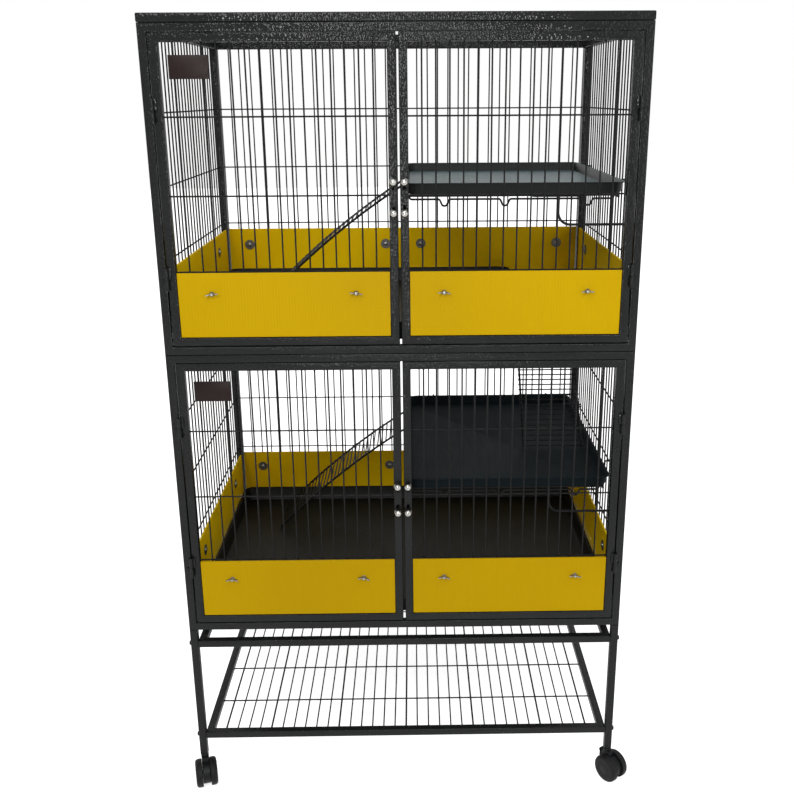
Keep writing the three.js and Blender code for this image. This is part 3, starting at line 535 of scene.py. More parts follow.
def guard_plastic(name, dark, mid, bright):
    """Translucent yellow twin-wall plastic with fine flutes inside."""
    paint = Paint(name)
    flutes = paint.bands("X", 62, 0.25, 1)
    ribs = paint.bands("Z", 48, 0.6)
    grime = paint.noise(60, 4, at=paint.coordinates((1, 1, 0.25)))
    base = paint.ramp(paint.noise(2.2, 1), [(0.2, dark), (0.5, mid), (0.8, bright)])
    streaked = paint.mixed(paint.span(grime, 0.0, 0.14, 0.35, 0.8), base, dark)
    ribbed = paint.mixed(paint.span(ribs, 0.0, 0.07), streaked, bright)
    return paint.finish(
        Base_Color=paint.mixed(paint.span(flutes, 0.0, 0.08), ribbed, dark),
        Roughness=paint.span(grime, 0.34, 0.5),
        Specular_IOR_Level=0.05,
        Subsurface_Weight=0.12,
        Subsurface_Radius=(0.004, 0.003, 0.0005),
        Subsurface_Scale=1.0,
        Normal=paint.bump(grime, 0.05, 0.0003, paint.bump(flutes, 0.18, 0.0004)),
    )


def moulded(name, low, high, roughness, grain=700, dust=PALE_DUST, dusty=0.1, shine=0.14, edge=None):
    """Grained moulded plastic with faint dust and scuffs. The edge colour is painted shade for all that
    doesn't face up, so that upward faces look lit from above.
    """
    paint = Paint(name)
    grains = paint.cells(grain).outputs["Distance"]
    scuffs = paint.noise(90, 5, 0.65, paint.coordinates((1, 0.12, 1)))
    base = paint.ramp(paint.noise(9, 4, 0.6), [(0.3, low), (0.7, high)])
    # Painted shade: faces that don't look up take the dark edge colour in place of the plastic's own.
    if edge:
        facing = paint.add("SeparateXYZ", Vector=paint.add("NewGeometry").outputs["Normal"]).outputs["Z"]
        base = paint.mixed(paint.span(facing, 0.0, 1.0, 0.8, 0.99), edge, base)
    return paint.finish(
        Base_Color=paint.mixed(paint.span(scuffs, 0.0, dusty, 0.5, 0.85), base, dust),
        Roughness=paint.span(scuffs, roughness - 0.08, roughness + 0.1),
        Specular_IOR_Level=shine,
        Normal=paint.bump(grains, 0.22, 0.0003),
    )


def metal(name, low, high, rough_low, rough_high, scale=500, bumps=0.2):
    """Bright plated metal with fine handling marks."""
    paint = Paint(name)
    marks = paint.noise(scale, 4, 0.6)
    return paint.finish(
        Base_Color=paint.ramp(marks, [(0.3, low), (0.7, high)]),
        Roughness=paint.span(marks, rough_low, rough_high),
        Metallic=1.0,
        Normal=paint.bump(marks, bumps, 0.0002),
    )


COAT = hammertone()
WIRE_COAT = wire_coat()
# One yellow plastic in three copies: the lower tier's is darker as painted shade, and the copy for the wall
# guards is much brighter as painted light, which stands in for light shining through them from behind.
GUARDS = {
    "upper": guard_plastic("guard_yellow_upper", (0.44, 0.265, 0.0), (0.51, 0.318, 0.0), (0.56, 0.36, 0.0)),
    "lower": guard_plastic("guard_yellow_lower_painted_shade", (0.40, 0.245, 0.0), (0.465, 0.288, 0.0), (0.51, 0.325, 0.0)),
    "inner": guard_plastic("guard_yellow_inner_painted_backlight", (0.80, 0.50, 0.0), (0.92, 0.60, 0.0), (0.96, 0.66, 0.0)),
}
PAN_BLACK = moulded("pan_black", (0.006, 0.006, 0.0048), (0.011, 0.011, 0.009), 0.45)
# Painted shade for the walls and rims of the slate tray, whose floor keeps its lighter slate.
SLATE_PAINTED_SHADE = (0.008, 0.0095, 0.0095)
SHELF_SLATE = moulded("shelf_slate", (0.066, 0.098, 0.104), (0.09, 0.127, 0.133), 0.4, edge=SLATE_PAINTED_SHADE)
SHELF_DARK = moulded("shelf_dark", (0.005, 0.0085, 0.0105), (0.008, 0.0125, 0.0155), 0.6, shine=0.04)
CHROME = metal("knob_chrome", (0.24, 0.235, 0.22), (0.42, 0.41, 0.39), 0.1, 0.26, 300, 0.08)
ZINC = metal("zinc_plate", (0.17, 0.17, 0.165), (0.36, 0.36, 0.35), 0.28, 0.45, bumps=0.25)
DULL_ZINC = metal("dull_zinc", (0.10, 0.098, 0.088), (0.19, 0.185, 0.165), 0.38, 0.52)
NYLON = moulded("caster_nylon", (0.005, 0.0056, 0.0062), (0.01, 0.0112, 0.012), 0.4, 900, (0.03, 0.03, 0.03))
RUBBER_DUST, BADGE_DUST = (0.04, 0.04, 0.038), (0.035, 0.026, 0.025)
TREAD = moulded("caster_tread", (0.006, 0.006, 0.006), (0.012, 0.012, 0.012), 0.55, 1200, RUBBER_DUST, 0.25)
BADGE = moulded("bare_badge", (0.01, 0.0045, 0.004), (0.017, 0.0075, 0.0065), 0.4, 1400, BADGE_DUST, 0.2)

# ---- Wire panels ----


def uprights_across(width):
    return round((width - 2 * TUBE) / WIRE_PITCH) - 1


def wire_fill(shape, width, height, crosses, side, count=None, thick=()):
    """The wires of a panel. Each ends inside the tube, and the uprights bow a little, as welded wire does."""
    count = count or uprights_across(width)
    clear = width - 2 * TUBE
    middle = TUBE / 2
    for i in range(1, count + 1):
        x = -clear / 2 + clear * i / (count + 1)
        bow = random.uniform(-WIRE_BOW, WIRE_BOW)
        radius = WIRE_R * (1.3 if abs(i - (count + 1) // 2) in thick else 1)
        low, high = TUBE - WIRE_SET, height - TUBE + WIRE_SET
        points = [(x, middle, low), (x + bow * 0.8, middle, low + (high - low) * 0.3)]
        points += [(x + bow, middle, low + (high - low) * 0.6), (x, middle, high)]
        wire(shape, points, radius)
    reach = width / 2 - TUBE + WIRE_SET
    cross_y = middle + side * (WIRE_STEP - 0.25 + (WIRE_R * 0.3 if thick else 0))
    for z in crosses:
        sag = random.uniform(-0.5, 0.5)
        wire(shape, [(-reach, cross_y, z), (0, cross_y, z + sag), (reach, cross_y, z)], WIRE_R)


def turned(degrees, x, y, z):
    return moved(x, y, z) @ Matrix.Rotation(math.radians(degrees), 4, "Z")


def laid_flat(z):
    """Places a panel that is drawn upright so that it lies with its outer face up."""
    return moved(0, FRONT, z) @ Matrix.Rotation(-math.pi / 2, 4, "X")


def tube_and_wires(name, width, height, place, body, node, crosses, side, **options):
    piece(f"{name}_tube", ring(width, height), COAT, body, place, [node])
    wires = Shape()
    wire_fill(wires, width, height, crosses, side, **options)
    piece(f"{name}_wires", wires, WIRE_COAT, body, place)


WALLS = {
    "left": (SIDE_LENGTH, -90, -HALF, 0),
    "right": (SIDE_LENGTH, 90, HALF, 0),
    "back": (CAGE_WIDTH, 180, 0, BACK),
}


def build_walls(tier, base):
    for wall, (width, turn, x, y) in WALLS.items():
        place = turned(turn, x, y, base)
        tube_and_wires(
            f"{tier}_{wall}_wall", width, TIER_HEIGHT, place, "cage", f"{tier}_{wall}_panel", WALL_CROSSES, -1
        )


# ---- Front frames, hinges, doors and latches ----


def barrel(inner, z0, z1):
    """The profile of a hinge's knuckle, which starts and ends at its inner radius."""
    r = KNUCKLE_R
    return [(inner, z0), (r - 0.5, z0), (r, z0 + 0.5), (r, z1 - 0.5), (r - 0.5, z1), (inner, z1)]


def hollow_knuckle(shape, x, z0, z1):
    """A barrel with a bore for the pin."""
    profile = barrel(KNUCKLE_BORE_R, z0, z1)
    verts = [(x + a, HINGE_Y + b, z) for r, z in profile for a, b in circle(r, KNUCKLE_SIDES)]
    shape.add(verts, quads(len(profile), KNUCKLE_SIDES, True))


def leaf(shape, edge, end, z0, z1):
    """The flat part of a hinge, between its knuckle and the tube that it is welded to."""
    slab(shape, min(edge, end), max(edge, end), -2.6, 0.5, z0, z1)


def build_front_frame(tier, base):
    place = moved(0, FRONT, base)
    shape = ring(CAGE_WIDTH, TIER_HEIGHT)
    for side in (-1, 1):
        for height in HINGE_HEIGHTS:
            z = DOOR_BOTTOM + height
            hinge = moved(side * HINGE_X, HINGE_Y, 0)
            lathe(shape, barrel(0, z - KNUCKLE_LENGTH, z - SEAT), KNUCKLE_SIDES, hinge)
            pin = [(0, z - 1), (PIN_R, z - 1), (PIN_R, z + 21), (1.2, z + 21.6), (0, z + 21.7)]
            lathe(shape, pin, 12, hinge)
            edge = HALF - TUBE + 0.5
            leaf(shape, side * edge, side * (edge + LEAF_REACH), z - KNUCKLE_LENGTH, z - SEAT)
    piece(f"{tier}_front_tube_frame", shape, COAT, "cage", place, [f"{tier}_front_frame"])


def cut_shape(shape, cutters):
    """The shape with the cutters taken away."""

    def temporary(part, name):
        mesh = bpy.data.meshes.new(name)
        mesh.from_pydata([tuple(v) for v in part.verts], [], part.faces)
        mesh.validate()
        return add_object(name, mesh)

    whole = temporary(shape, "whole")
    for i, cutter in enumerate(cutters):
        tool = temporary(cutter, f"cutter_{i}")
        modifier = whole.modifiers.new(f"cut_{i}", "BOOLEAN")
        modifier.object = tool
        modifier.operation = "DIFFERENCE"
        modifier.solver = "EXACT"
    bpy.context.view_layer.update()
    result = whole.evaluated_get(bpy.context.evaluated_depsgraph_get()).to_mesh()
    out = Shape()
    out.add([v.co.copy() for v in result.vertices], [list(p.vertices) for p in result.polygons], False)
    for obj in [o for o in bpy.data.objects if o.name == "whole" or o.name.startswith("cutter_")]:
        bpy.data.objects.remove(obj)
    return out


def block(x0, x1, y0, y1, z0, z1):
    shape = Shape()
    slab(shape, x0, x1, y0, y1, z0, z1, 0.05)
    return shape


def knob_height(up):
    return DOOR_HEIGHT / 2 - LATCH_LOW + up * LATCH_SPREAD / 2


def door_tubes(side):
    """The door's ring of tube. Its inner tube is hollow, with a slot for each latch."""
    x = -side * (DOOR_WIDTH - TUBE) / 2
    half = STILE_BORE / 2
    middle = TUBE / 2
    slot_half = LATCH_STEM_R + SEAT
    cutters = [block(x - half, x + half, middle - half, middle + half, -1, DOOR_HEIGHT + 1)]
    for up in (-1, 1):
        outer = knob_height(up) + up * slot_half
        inner = knob_height(up) - up * (LATCH_TRAVEL + slot_half)
        cutters.append(block(x - slot_half, x + slot_half, -1, middle, min(outer, inner), max(outer, inner)))
    shape = cut_shape(ring(DOOR_WIDTH, DOOR_HEIGHT + DOOR_EXTRA), cutters)
    edge = side * (DOOR_WIDTH / 2 + 0.5)
    for z in HINGE_HEIGHTS:
        hollow_knuckle(shape, side * (HINGE_X - DOOR_MIDDLE_X), z, z + KNUCKLE_LENGTH)
        leaf(shape, edge, edge - side * LEAF_REACH, z, z + KNUCKLE_LENGTH)
    return shape


def build_latch(tier, name, side, up, place):
    """Ball knob, stem and rod. The rod runs inside the door's tube."""
    x = -side * (DOOR_WIDTH - TUBE) / 2
    z = knob_height(up)
    shape = Shape()
    turns = [-math.pi / 2 + math.pi * k / 12 for k in range(1, 12)]
    ball = [(0, -KNOB_R), *((KNOB_R * math.cos(a), KNOB_R * math.sin(a)) for a in turns), (0, KNOB_R)]
    to_front = along((x, 0, z), (x, -1, z))
    lathe(shape, ball, 28, to_front @ moved(z=KNOB_STANDS))
    stem = [(0, -TUBE / 2), (LATCH_STEM_R, -TUBE / 2), (LATCH_STEM_R, 0.5), (4.4, 1.2), (4.4, 2.2), (0, 2.4)]
    lathe(shape, stem, 18, to_front)
    frame_edge = DOOR_HEIGHT + DOOR_GAP if up > 0 else -DOOR_GAP
    rod_end = frame_edge - up * 1.7
    wire(shape, [(x, TUBE / 2, z - up * LATCH_ROD_R), (x, TUBE / 2, rod_end)], LATCH_ROD_R, 14)
    label = "top" if up > 0 else "bottom"
    node = f"{tier}_{name}_latch_{label}"
    body = f"{node}_rod"
    piece(f"{tier}_{name}_{label}_pinch_knob", shape, CHROME, body, place, [node])


def build_doors(tier, base):
    for name, side in (("left", -1), ("right", 1)):
        place = moved(side * DOOR_MIDDLE_X, FRONT, base + DOOR_BOTTOM)
        body = f"{tier}_{name}_door"
        piece(f"{body}_tube", door_tubes(side), COAT, body, place, [body])
        wires = Shape()
        crosses = [DOOR_HEIGHT / 2 + i * DOOR_CROSS_STEP for i in (-1, 0, 1)]
        wire_fill(wires, DOOR_WIDTH, DOOR_HEIGHT, crosses, 1)
        piece(f"{body}_wires", wires, WIRE_COAT, body, place)
        for up in (1, -1):
            build_latch(tier, name, side, up, place)
        half = DOOR_WIDTH / 2 - TUBE - 1
        back = TUBE / 2 - WIRE_R - SEAT
        top = GUARD_TOP - DOOR_BOTTOM
        sheet = fluted_sheet(-half, half, back - GUARD_THICK, back, top - GUARD_HEIGHT, top)
        node = f"{tier}_front_{name}_guard"
        piece(f"{tier}_front_{name}_guard_sheet", sheet, GUARDS[tier], body, place, [node])
        for spot in DOOR_BOLTS:
            x = side * (spot - DOOR_MIDDLE_X)
            face = place @ moved(x, back - GUARD_THICK, GUARD_BOLT_Z - DOOR_BOTTOM)
            build_fastener(f"{tier}_front_{name}_{spot}", body, face, 10.5)


# ---- Guards and their fasteners ----


def fluted_sheet(x0, x1, y0, y1, z0, z1):
    """A twin-wall sheet whose two skins are drawn in slightly between its upright webs."""
    count = int((x1 - x0) / FLUTE_PITCH) * 4
    dips = (0, FLUTE_DEPTH / 2, FLUTE_DEPTH, FLUTE_DEPTH / 2)
    xs = [(x0 + (x1 - x0) * i / count, dips[i % 4]) for i in range(count + 1)]
    edge = 0.5
    rows = [(z0, edge), (z0 + edge, 0), (z0 + (z1 - z0) / 2, 0), (z1 - edge, 0), (z1, edge)]
    n = len(xs)
    verts = []
    for y, inwards in ((y0, 1), (y1, -1)):
        verts += [(x, y + inwards * (dip + inset), z) for z, inset in rows for x, dip in xs]
    faces = []
    rear = len(rows) * n
    for k in range(len(rows) - 1):
        for j in range(n - 1):
            a, d = k * n + j, (k + 1) * n + j
            b, c = a + 1, d + 1
            faces.append([a, b, c, d])
            faces.append([rear + d, rear + c, rear + b, rear + a])
        for j in (0, n - 1):
            a, d = k * n + j, (k + 1) * n + j
            faces.append([a, d, rear + d, rear + a] if j == 0 else [a, rear + a, rear + d, d])
    top = (len(rows) - 1) * n
    for j in range(n - 1):
        faces.append([j, rear + j, rear + j + 1, j + 1])
        faces.append([top + j, top + j + 1, rear + top + j + 1, rear + top + j])
    shape = Shape()
    shape.add(verts, faces)
    return shape


def wing(shape, sign, move):
    """One pressed wing of a wing nut: a rounded leaf that rises from the hub."""
    outline = [(2.6, 1.2), (4.4, 0.9), (8.4, 3.2), (11.6, 6.2), (12.3, 8.4)]
    outline += [(11.0, 9.8), (8.6, 9.2), (5.0, 6.4), (2.6, 5.0)]
    half_thick = 0.9
    n = len(outline)
    verts = [(sign * a, t, b) for t in (-half_thick, half_thick) for a, b in outline]
    faces = [list(range(n)), [n + j for j in range(n)][::-1]]
    for j in range(n):
        m = (j + 1) % n
        faces.append([j, n + j, n + m, m])
    if sign > 0:
        faces = [f[::-1] for f in faces]
    shape.add(verts, faces, False, move)


def build_fastener(name, body, face, through):
    """Wing nut outside, bolt through the sheet and the wires, washer and domed head inside. `face` is the
    sheet's outer face with -y pointing outwards, and `through` the depth from there to the inner end."""
    outward = face @ OUTWARDS
    nut = Shape()
    spin = Matrix.Rotation(math.radians(random.uniform(-9, 9)), 4, "Z")
    hub = [(0, 0.05), (4.6, 0.05), (4.8, 0.6), (3.6, 2.2), (3.3, 5.2), (2.9, 5.8), (0, 5.8)]
    lathe(nut, hub, 20, outward)
    for sign in (-1, 1):
        wing(nut, sign, outward @ spin)
    wire(nut, [outward @ Vector((0, 0, 5.0)), outward @ Vector((0, 0, 8.4))], GUARD_BOLT_R, 12)
    piece(f"{name}_wing_nut", nut, ZINC, body)
    inward = face @ moved(0, through, 0) @ INWARDS
    washer = Shape()
    lathe(washer, [(2.6, 0), (12.0, 0), (12.5, 0.5), (12.0, 1.2), (2.6, 1.2)], 28, inward)
    piece(f"{name}_washer", washer, DULL_ZINC, body)
    head = Shape()
    lathe(head, [(0, 1.2), (5.4, 1.2), (5.4, 1.8), (4.6, 3.2), (2.8, 4.1), (0, 4.4)], 22, inward)
    shank = [inward @ Vector((0, 0, z)) for z in (1.3, 0.2 - through)]
    wire(head, shank, GUARD_BOLT_R, 12, False)
    piece(f"{name}_bolt", head, ZINC, body)


def build_wall_guards(tier, base):
    """One sheet on each side wall, and two that share the back wall. Low and high say where a sheet starts
    and ends, as a share of the wall's half width, with 0 for the wall's middle."""
    face = TUBE / 2 + WIRE_R + SEAT
    outer = TUBE / 2 - WIRE_R
    sheets = [
        ("left", "left", -1, 1, SIDE_BOLTS),
        ("right", "right", -1, 1, SIDE_BOLTS),
        ("back", "back_left", 0, 1, BACK_BOLTS),
        ("back", "back_right", -1, 0, [-x for x in BACK_BOLTS]),
    ]
    for wall, name, low, high, spots in sheets:
        width, turn, x, y = WALLS[wall]
        place = turned(turn, x, y, base)
        reach = width / 2 - TUBE - 1
        start = low * reach if low else 1
        end = high * reach if high else -1
        sheet = fluted_sheet(start, end, face, face + GUARD_THICK, GUARD_TOP - GUARD_HEIGHT, GUARD_TOP)
        node = f"{tier}_{name}_guard"
        piece(f"{node}_sheet", sheet, GUARDS["inner"], "cage", place, [node])
        for letter, spot in zip("ab", spots):
            outside = place @ moved(spot, outer, GUARD_BOLT_Z)
            build_fastener(f"{tier}_{name}_{letter}", "cage", outside, face + GUARD_THICK - outer)


# ---- Pans and trays ----


def rounded_outline(corners, inset, radius):
    """The corners of a right-angled outline, counter-clockwise, moved in by `inset` and rounded. A corner may
    carry its own radius as a third number."""
    out = []
    count = len(corners)
    for i in range(count):
        before, here, after = (Vector(corners[k % count][:2]) for k in (i - 1, i, i + 1))
        arriving = (here - before).normalized()
        leaving = (after - here).normalized()
        turn = 1 if arriving.x * leaving.y - arriving.y * leaving.x > 0 else -1
        own = corners[i][2] if len(corners[i]) > 2 else radius
        bend = turn * (own - turn * inset)
        first = Vector((-arriving.y, arriving.x))
        last = Vector((-leaving.y, leaving.x))
        centre = here + (first + last) * (inset + bend)
        for k in range(CORNER_STEPS + 1):
            a = math.pi / 2 * k / CORNER_STEPS
            out.append(centre - first * bend * math.cos(a) - last * bend * math.sin(a))
    return out


def moulded_tray(corners, bottom, height, wall, lip, draft, corner_r):
    """A moulded tray with rounded edges, sloping walls and a turned-out lip."""
    top = bottom + height
    rows = [
        (lip + draft + 3.0, bottom),
        (lip + draft + 0.8, bottom + 0.9),
        (lip + draft - 0.4, bottom + 3.0),
        (lip, top - wall - 0.6),
        (lip - 0.5, top - wall),
        (0.6, top - wall),
        (0, top - wall / 2),
        (0.6, top),
        (lip + wall - 0.8, top),
        (lip + wall, top - 0.8),
        (lip + draft + wall - 0.4, bottom + wall + 3.0),
        (lip + draft + wall + 0.8, bottom + wall + 0.9),
        (lip + draft + wall + 3.0, bottom + wall),
    ]
    verts = [(p.x, p.y, z) for inset, z in rows for p in rounded_outline(corners, inset, corner_r)]
    n = len(verts) // len(rows)
    sides = quads(len(rows), n)
    last = len(verts) - n
    faces = sides + [list(range(n))[::-1], [last + j for j in range(n)]]
    shape = Shape()
    shape.add(verts, faces, [True] * len(sides) + [False, False])
    return shape


def build_pan(tier, base):
    x = HALF - TUBE - PAN_ROOM
    front, back = FRONT + TUBE + PAN_ROOM, BACK - TUBE - PAN_ROOM
    corners = [(-x, front), (x, front), (x, back), (-x, back)]
    if tier == "upper":
        edge_x, edge_y = HOLE_LEFT + 2, FRONT + HOLE_FRONT - 2
        notch = (edge_x, edge_y, NOTCH_CORNER_R)
        corners = [(-x, front), (x, front), (x, edge_y), notch, (edge_x, back), (-x, back)]
    shape = moulded_tray(corners, PAN_BOTTOM, PAN_HEIGHT, PAN_WALL, TRAY_LIP, 5, PAN_CORNER_R)
    piece(f"{tier}_moulded_pan", shape, PAN_BLACK, "cage", moved(z=base), [f"{tier}_floor_pan"])


def build_tray(tier, base):
    corners = [(TRAY_LEFT, TRAY_FRONT), (TRAY_RIGHT, TRAY_FRONT)]
    corners += [(TRAY_RIGHT, TRAY_BACK), (TRAY_LEFT, TRAY_BACK)]
    shape = moulded_tray(corners, SHELF_HEIGHT, TRAY_HEIGHT, TRAY_WALL, TRAY_LIP, 4, TRAY_CORNER_R)
    body, material = ("upper_tray", SHELF_SLATE) if tier == "upper" else ("cage", SHELF_DARK)
    piece(f"{tier}_moulded_tray", shape, material, body, moved(z=base), [f"{tier}_shelf_tray"])


# ---- Floor grids, shelf frames and ramps ----


def grid_section(front, back, has_hole):
    """A loop of rod with wires both ways over it, and a way through for the ramp."""
    shape = Shape()
    w = GRID_HALF
    hole_back = FRONT + HOLE_BACK
    front_end = HOLE_LEFT if has_hole else w
    right_start = hole_back if has_hole else front

    def rod(a, b):
        wire(shape, [a, b], ROD_R, 10)

    rod((-w - ROD_R, front, GRID_CROSS_Z), (front_end + ROD_R, front, GRID_CROSS_Z))
    rod((-w - ROD_R, back, GRID_CROSS_Z), (w + ROD_R, back, GRID_CROSS_Z))
    rod((-w, front - ROD_END, GRID_ROD_Z), (-w, back + ROD_END, GRID_ROD_Z))
    rod((w, right_start - ROD_END, GRID_ROD_Z), (w, back + ROD_END, GRID_ROD_Z))
    if has_hole:
        rod((HOLE_LEFT - ROD_END, hole_back, GRID_CROSS_Z), (w + ROD_R, hole_back, GRID_CROSS_Z))
        rod((HOLE_LEFT, front - ROD_END, GRID_ROD_Z), (HOLE_LEFT, hole_back + ROD_END, GRID_ROD_Z))
    for i in range(1, 4):
        y = GRID_FRONT + (GRID_BACK - GRID_FRONT) * i / 4
        if front < y < back:
            wire(shape, [(-w, y, GRID_ROD_Z), (front_end if y < hole_back else w, y, GRID_ROD_Z)], WIRE_R)
    for i in range(1, GRID_WIRES):
        x = -w + 2 * w * i / GRID_WIRES
        start = right_start if x > front_end else front
        wire(shape, [(x, start, GRID_WIRE_Z), (x, back, GRID_WIRE_Z)], WIRE_R, 6)
    return shape


def build_grid(tier, base):
    sections = [(tier, GRID_FRONT, GRID_BACK, False)]
    if tier == "upper":
        edge = FRONT + HOLE_FRONT
        sections = [("upper_front", GRID_FRONT, edge, False)]
        sections.append((tier, edge + 2 * ROD_R + SEAT, GRID_BACK, True))
    for name, front, back, has_hole in sections:
        shape = grid_section(front, back, has_hole)
        piece(f"{name}_floor_wires", shape, WIRE_COAT, "cage", moved(z=base), [f"{name}_floor_grid"])


def between_uprights(width, x):
    step = (width - 2 * TUBE) / (uprights_across(width) + 1)
    left = TUBE - width / 2
    return left + step * (round((x - left) / step - 0.5) + 0.5)


def add_brace(shape, y):
    """A rod that drops from the shelf and bends out to the right wall."""
    wall = HALF - TUBE / 2 - WIRE_R - SEAT - ROD_R
    foot, low = wall - BRACE_REACH, SHELF_CROSS_Z - BRACE_DROP
    r = BRACE_BEND_R
    turns = [math.pi / 2 * k / 8 for k in range(9)]
    bend = [(foot + r * (1 - math.cos(a)), y, low + r * (1 - math.sin(a))) for a in turns]
    wire(shape, [(foot, y, SHELF_CROSS_Z), *bend, (wall, y, low)], ROD_R, 12)


def hook_path(start, line, z, clear, rise):
    """A hook's points as (out, height): from the shelf, up before the wall's wires and down behind them."""
    inside = line - 3 * clear
    return [(start, z), (inside, z), (inside, rise), (line + clear, rise), (line + clear, rise - 2 * clear)]


def build_shelf_frame(tier, base):
    shape = Shape()
    left, right = TRAY_LEFT + 2, TRAY_RIGHT - SHELF_EDGE
    front, back = TRAY_FRONT + SHELF_EDGE, TRAY_BACK - SHELF_EDGE
    cross, low_rod = SHELF_CROSS_Z, SHELF_ROD_Z
    for x in (left, right):
        wire(shape, [(x, front - ROD_END, low_rod), (x, back + ROD_END, low_rod)], ROD_R, 12)
    for y in (front, back):
        wire(shape, [(left - ROD_END, y, cross), (right + ROD_END, y, cross)], ROD_R, 12)
    for i in range(SHELF_WIRES):
        x = left + (right - left) * (i + 1) / (SHELF_WIRES + 1)
        wire(shape, [(x, front, cross), (x, back, cross)], WIRE_R)
    for y in (front, back):
        x0, x1 = left + 3 * ROD_R, right - 3 * ROD_R
        low = cross - 7
        points = [(x0, cross), (x0 + 3.5, low)]
        for share in DIP_SPOTS:
            m = x0 + (x1 - x0) * share
            points += [(m - 9.5, low), (m - 3.8, low - DIP_DEPTH), (m + 3.8, low - DIP_DEPTH), (m + 9.5, low)]
        points += [(x1 - 3.5, low), (x1, cross)]
        bent_wire(shape, [(x, y, z) for x, z in points], 2, 10)
        add_brace(shape, y)
    clear = WIRE_R + SEAT + HOOK_WIRE_R
    rise = WALL_CROSSES[1] + clear
    for share in (-0.29, 0.37):
        y = between_uprights(SIDE_LENGTH, share * SIDE_LENGTH)
        path = hook_path(right, HALF - TUBE / 2 + WIRE_STEP, low_rod, clear, rise)
        bent_wire(shape, [(a, y, z) for a, z in path], HOOK_WIRE_R, 10)
    for share in (0.08, 0.41):
        x = between_uprights(CAGE_WIDTH, share * CAGE_WIDTH)
        path = hook_path(back, BACK - TUBE / 2 + WIRE_STEP, cross, clear, rise)
        bent_wire(shape, [(x, a, z) for a, z in path], HOOK_WIRE_R, 10)
    piece(f"{tier}_shelf_wires", shape, WIRE_COAT, "cage", moved(z=base), [f"{tier}_shelf_frame"])


def ladder(arch):
    """Two arched rails that hook over a rod at the origin, with rungs whose ends stand out past them."""
    shape = Shape()

    def height(s):
        return HOOK_R + 4 * arch * s * (RAMP_LENGTH - s) / RAMP_LENGTH**2

    profile = [(HOOK_R * math.sin(a), HOOK_R * math.cos(a)) for a in (2.2 * (1 - k / 9) for k in range(9))]
    profile += [(-RAMP_LENGTH * k / 24, height(RAMP_LENGTH * k / 24)) for k in range(25)]
    for side in (-1, 1):
        wire(shape, [(x, side * RAMP_WIDTH / 2, z) for x, z in profile], ROD_R, 10)
    reach = RAMP_WIDTH / 2 + RUNG_OVERHANG
    s = RAMP_LENGTH - 3
    while s > 14:
        over = height(s) + 1.2
        wire(shape, [(-s, -reach, over), (-s, reach, over)], WIRE_R)
        s -= RUNG_PITCH
    return shape


def ramp_angle(drop):
    lean = math.atan2(HOOK_R, RAMP_LENGTH)
    return lean + math.asin(drop / math.hypot(RAMP_LENGTH, HOOK_R))


def tilted(angle):
    return Matrix.Rotation(-angle, 4, "Y")


def build_ramp(tier, base):
    drop = SHELF_ROD_Z - (PAN_FLOOR + SEAT + ROD_R)
    at = (TRAY_LEFT + 2, FRONT + RAMP_MIDDLES[tier], base + SHELF_ROD_Z)
    place = Matrix.Translation(at) @ tilted(ramp_angle(drop))
    body = f"{tier}_ramp_ladder"
    piece(f"{tier}_ladder", ladder(RAMP_ARCH), WIRE_COAT, body, place, [f"{tier}_ramp"])


def build_tier_ramp():
    hook_z = BASES["upper"] + GRID_CROSS_Z
    rest_z = BASES["lower"] + TRAY_FLOOR + SEAT + ROD_R
    place = turned(90, TIER_RAMP_X, FRONT + HOLE_BACK, hook_z) @ tilted(ramp_angle(hook_z - rest_z))
    piece("tier_ladder", ladder(0), WIRE_COAT, "tier_ramp_ladder", place, ["tier_ramp"])


# ---- Stand and casters ----


def build_stand():
    for end, y in (("front", -LEG_Y), ("back", LEG_Y)):
        for side, x in (("left", -LEG_X), ("right", LEG_X)):
            shape = Shape()
            post(shape, x, y, LEG_BOTTOM, STAND_HEIGHT)
            piece(f"stand_leg_{end}_{side}", shape, COAT, "cage", replaces=[f"leg_{end}_{side}"])
            out = math.copysign(TUBE / 2, x)
            bolts = Shape()
            for z in (STAND_TOP_FRAME + TUBE / 2, STAND_SHELF + TUBE / 2):
                face = along((x + out, y, z), (x + 2 * out, y, z))
                lathe(bolts, [(0, 0), (5.6, 0), (5.6, 0.8), (4.9, 2.6), (3.0, 3.9), (0, 4.3)], 20, face)
            piece(f"stand_bolts_{end}_{side}", bolts, NYLON, "cage")
    place = laid_flat(STAND_TOP_FRAME + TUBE)
    piece("stand_upper_ring", ring(STAND_WIDTH, CAGE_DEPTH), COAT, "cage", place, ["stand_top_frame"])
    count = 2 * round((STAND_WIDTH - 2 * TUBE) / WIRE_PITCH / 2) - 1
    crosses = [CAGE_DEPTH * i / 5 for i in range(1, 5)]
    place = laid_flat(STAND_SHELF + TUBE)
    thick = (0, 6, 12, 16)
    name = "stand_shelf"
    tube_and_wires(name, STAND_WIDTH, CAGE_DEPTH, place, "cage", name, crosses, 1, count=count, thick=thick)


def caster_place(name):
    end, side = name.split("_")
    x = LEG_X if side == "right" else -LEG_X
    y = LEG_Y if end == "back" else -LEG_Y
    return turned(CASTER_TURNS[name], x, y, 0)


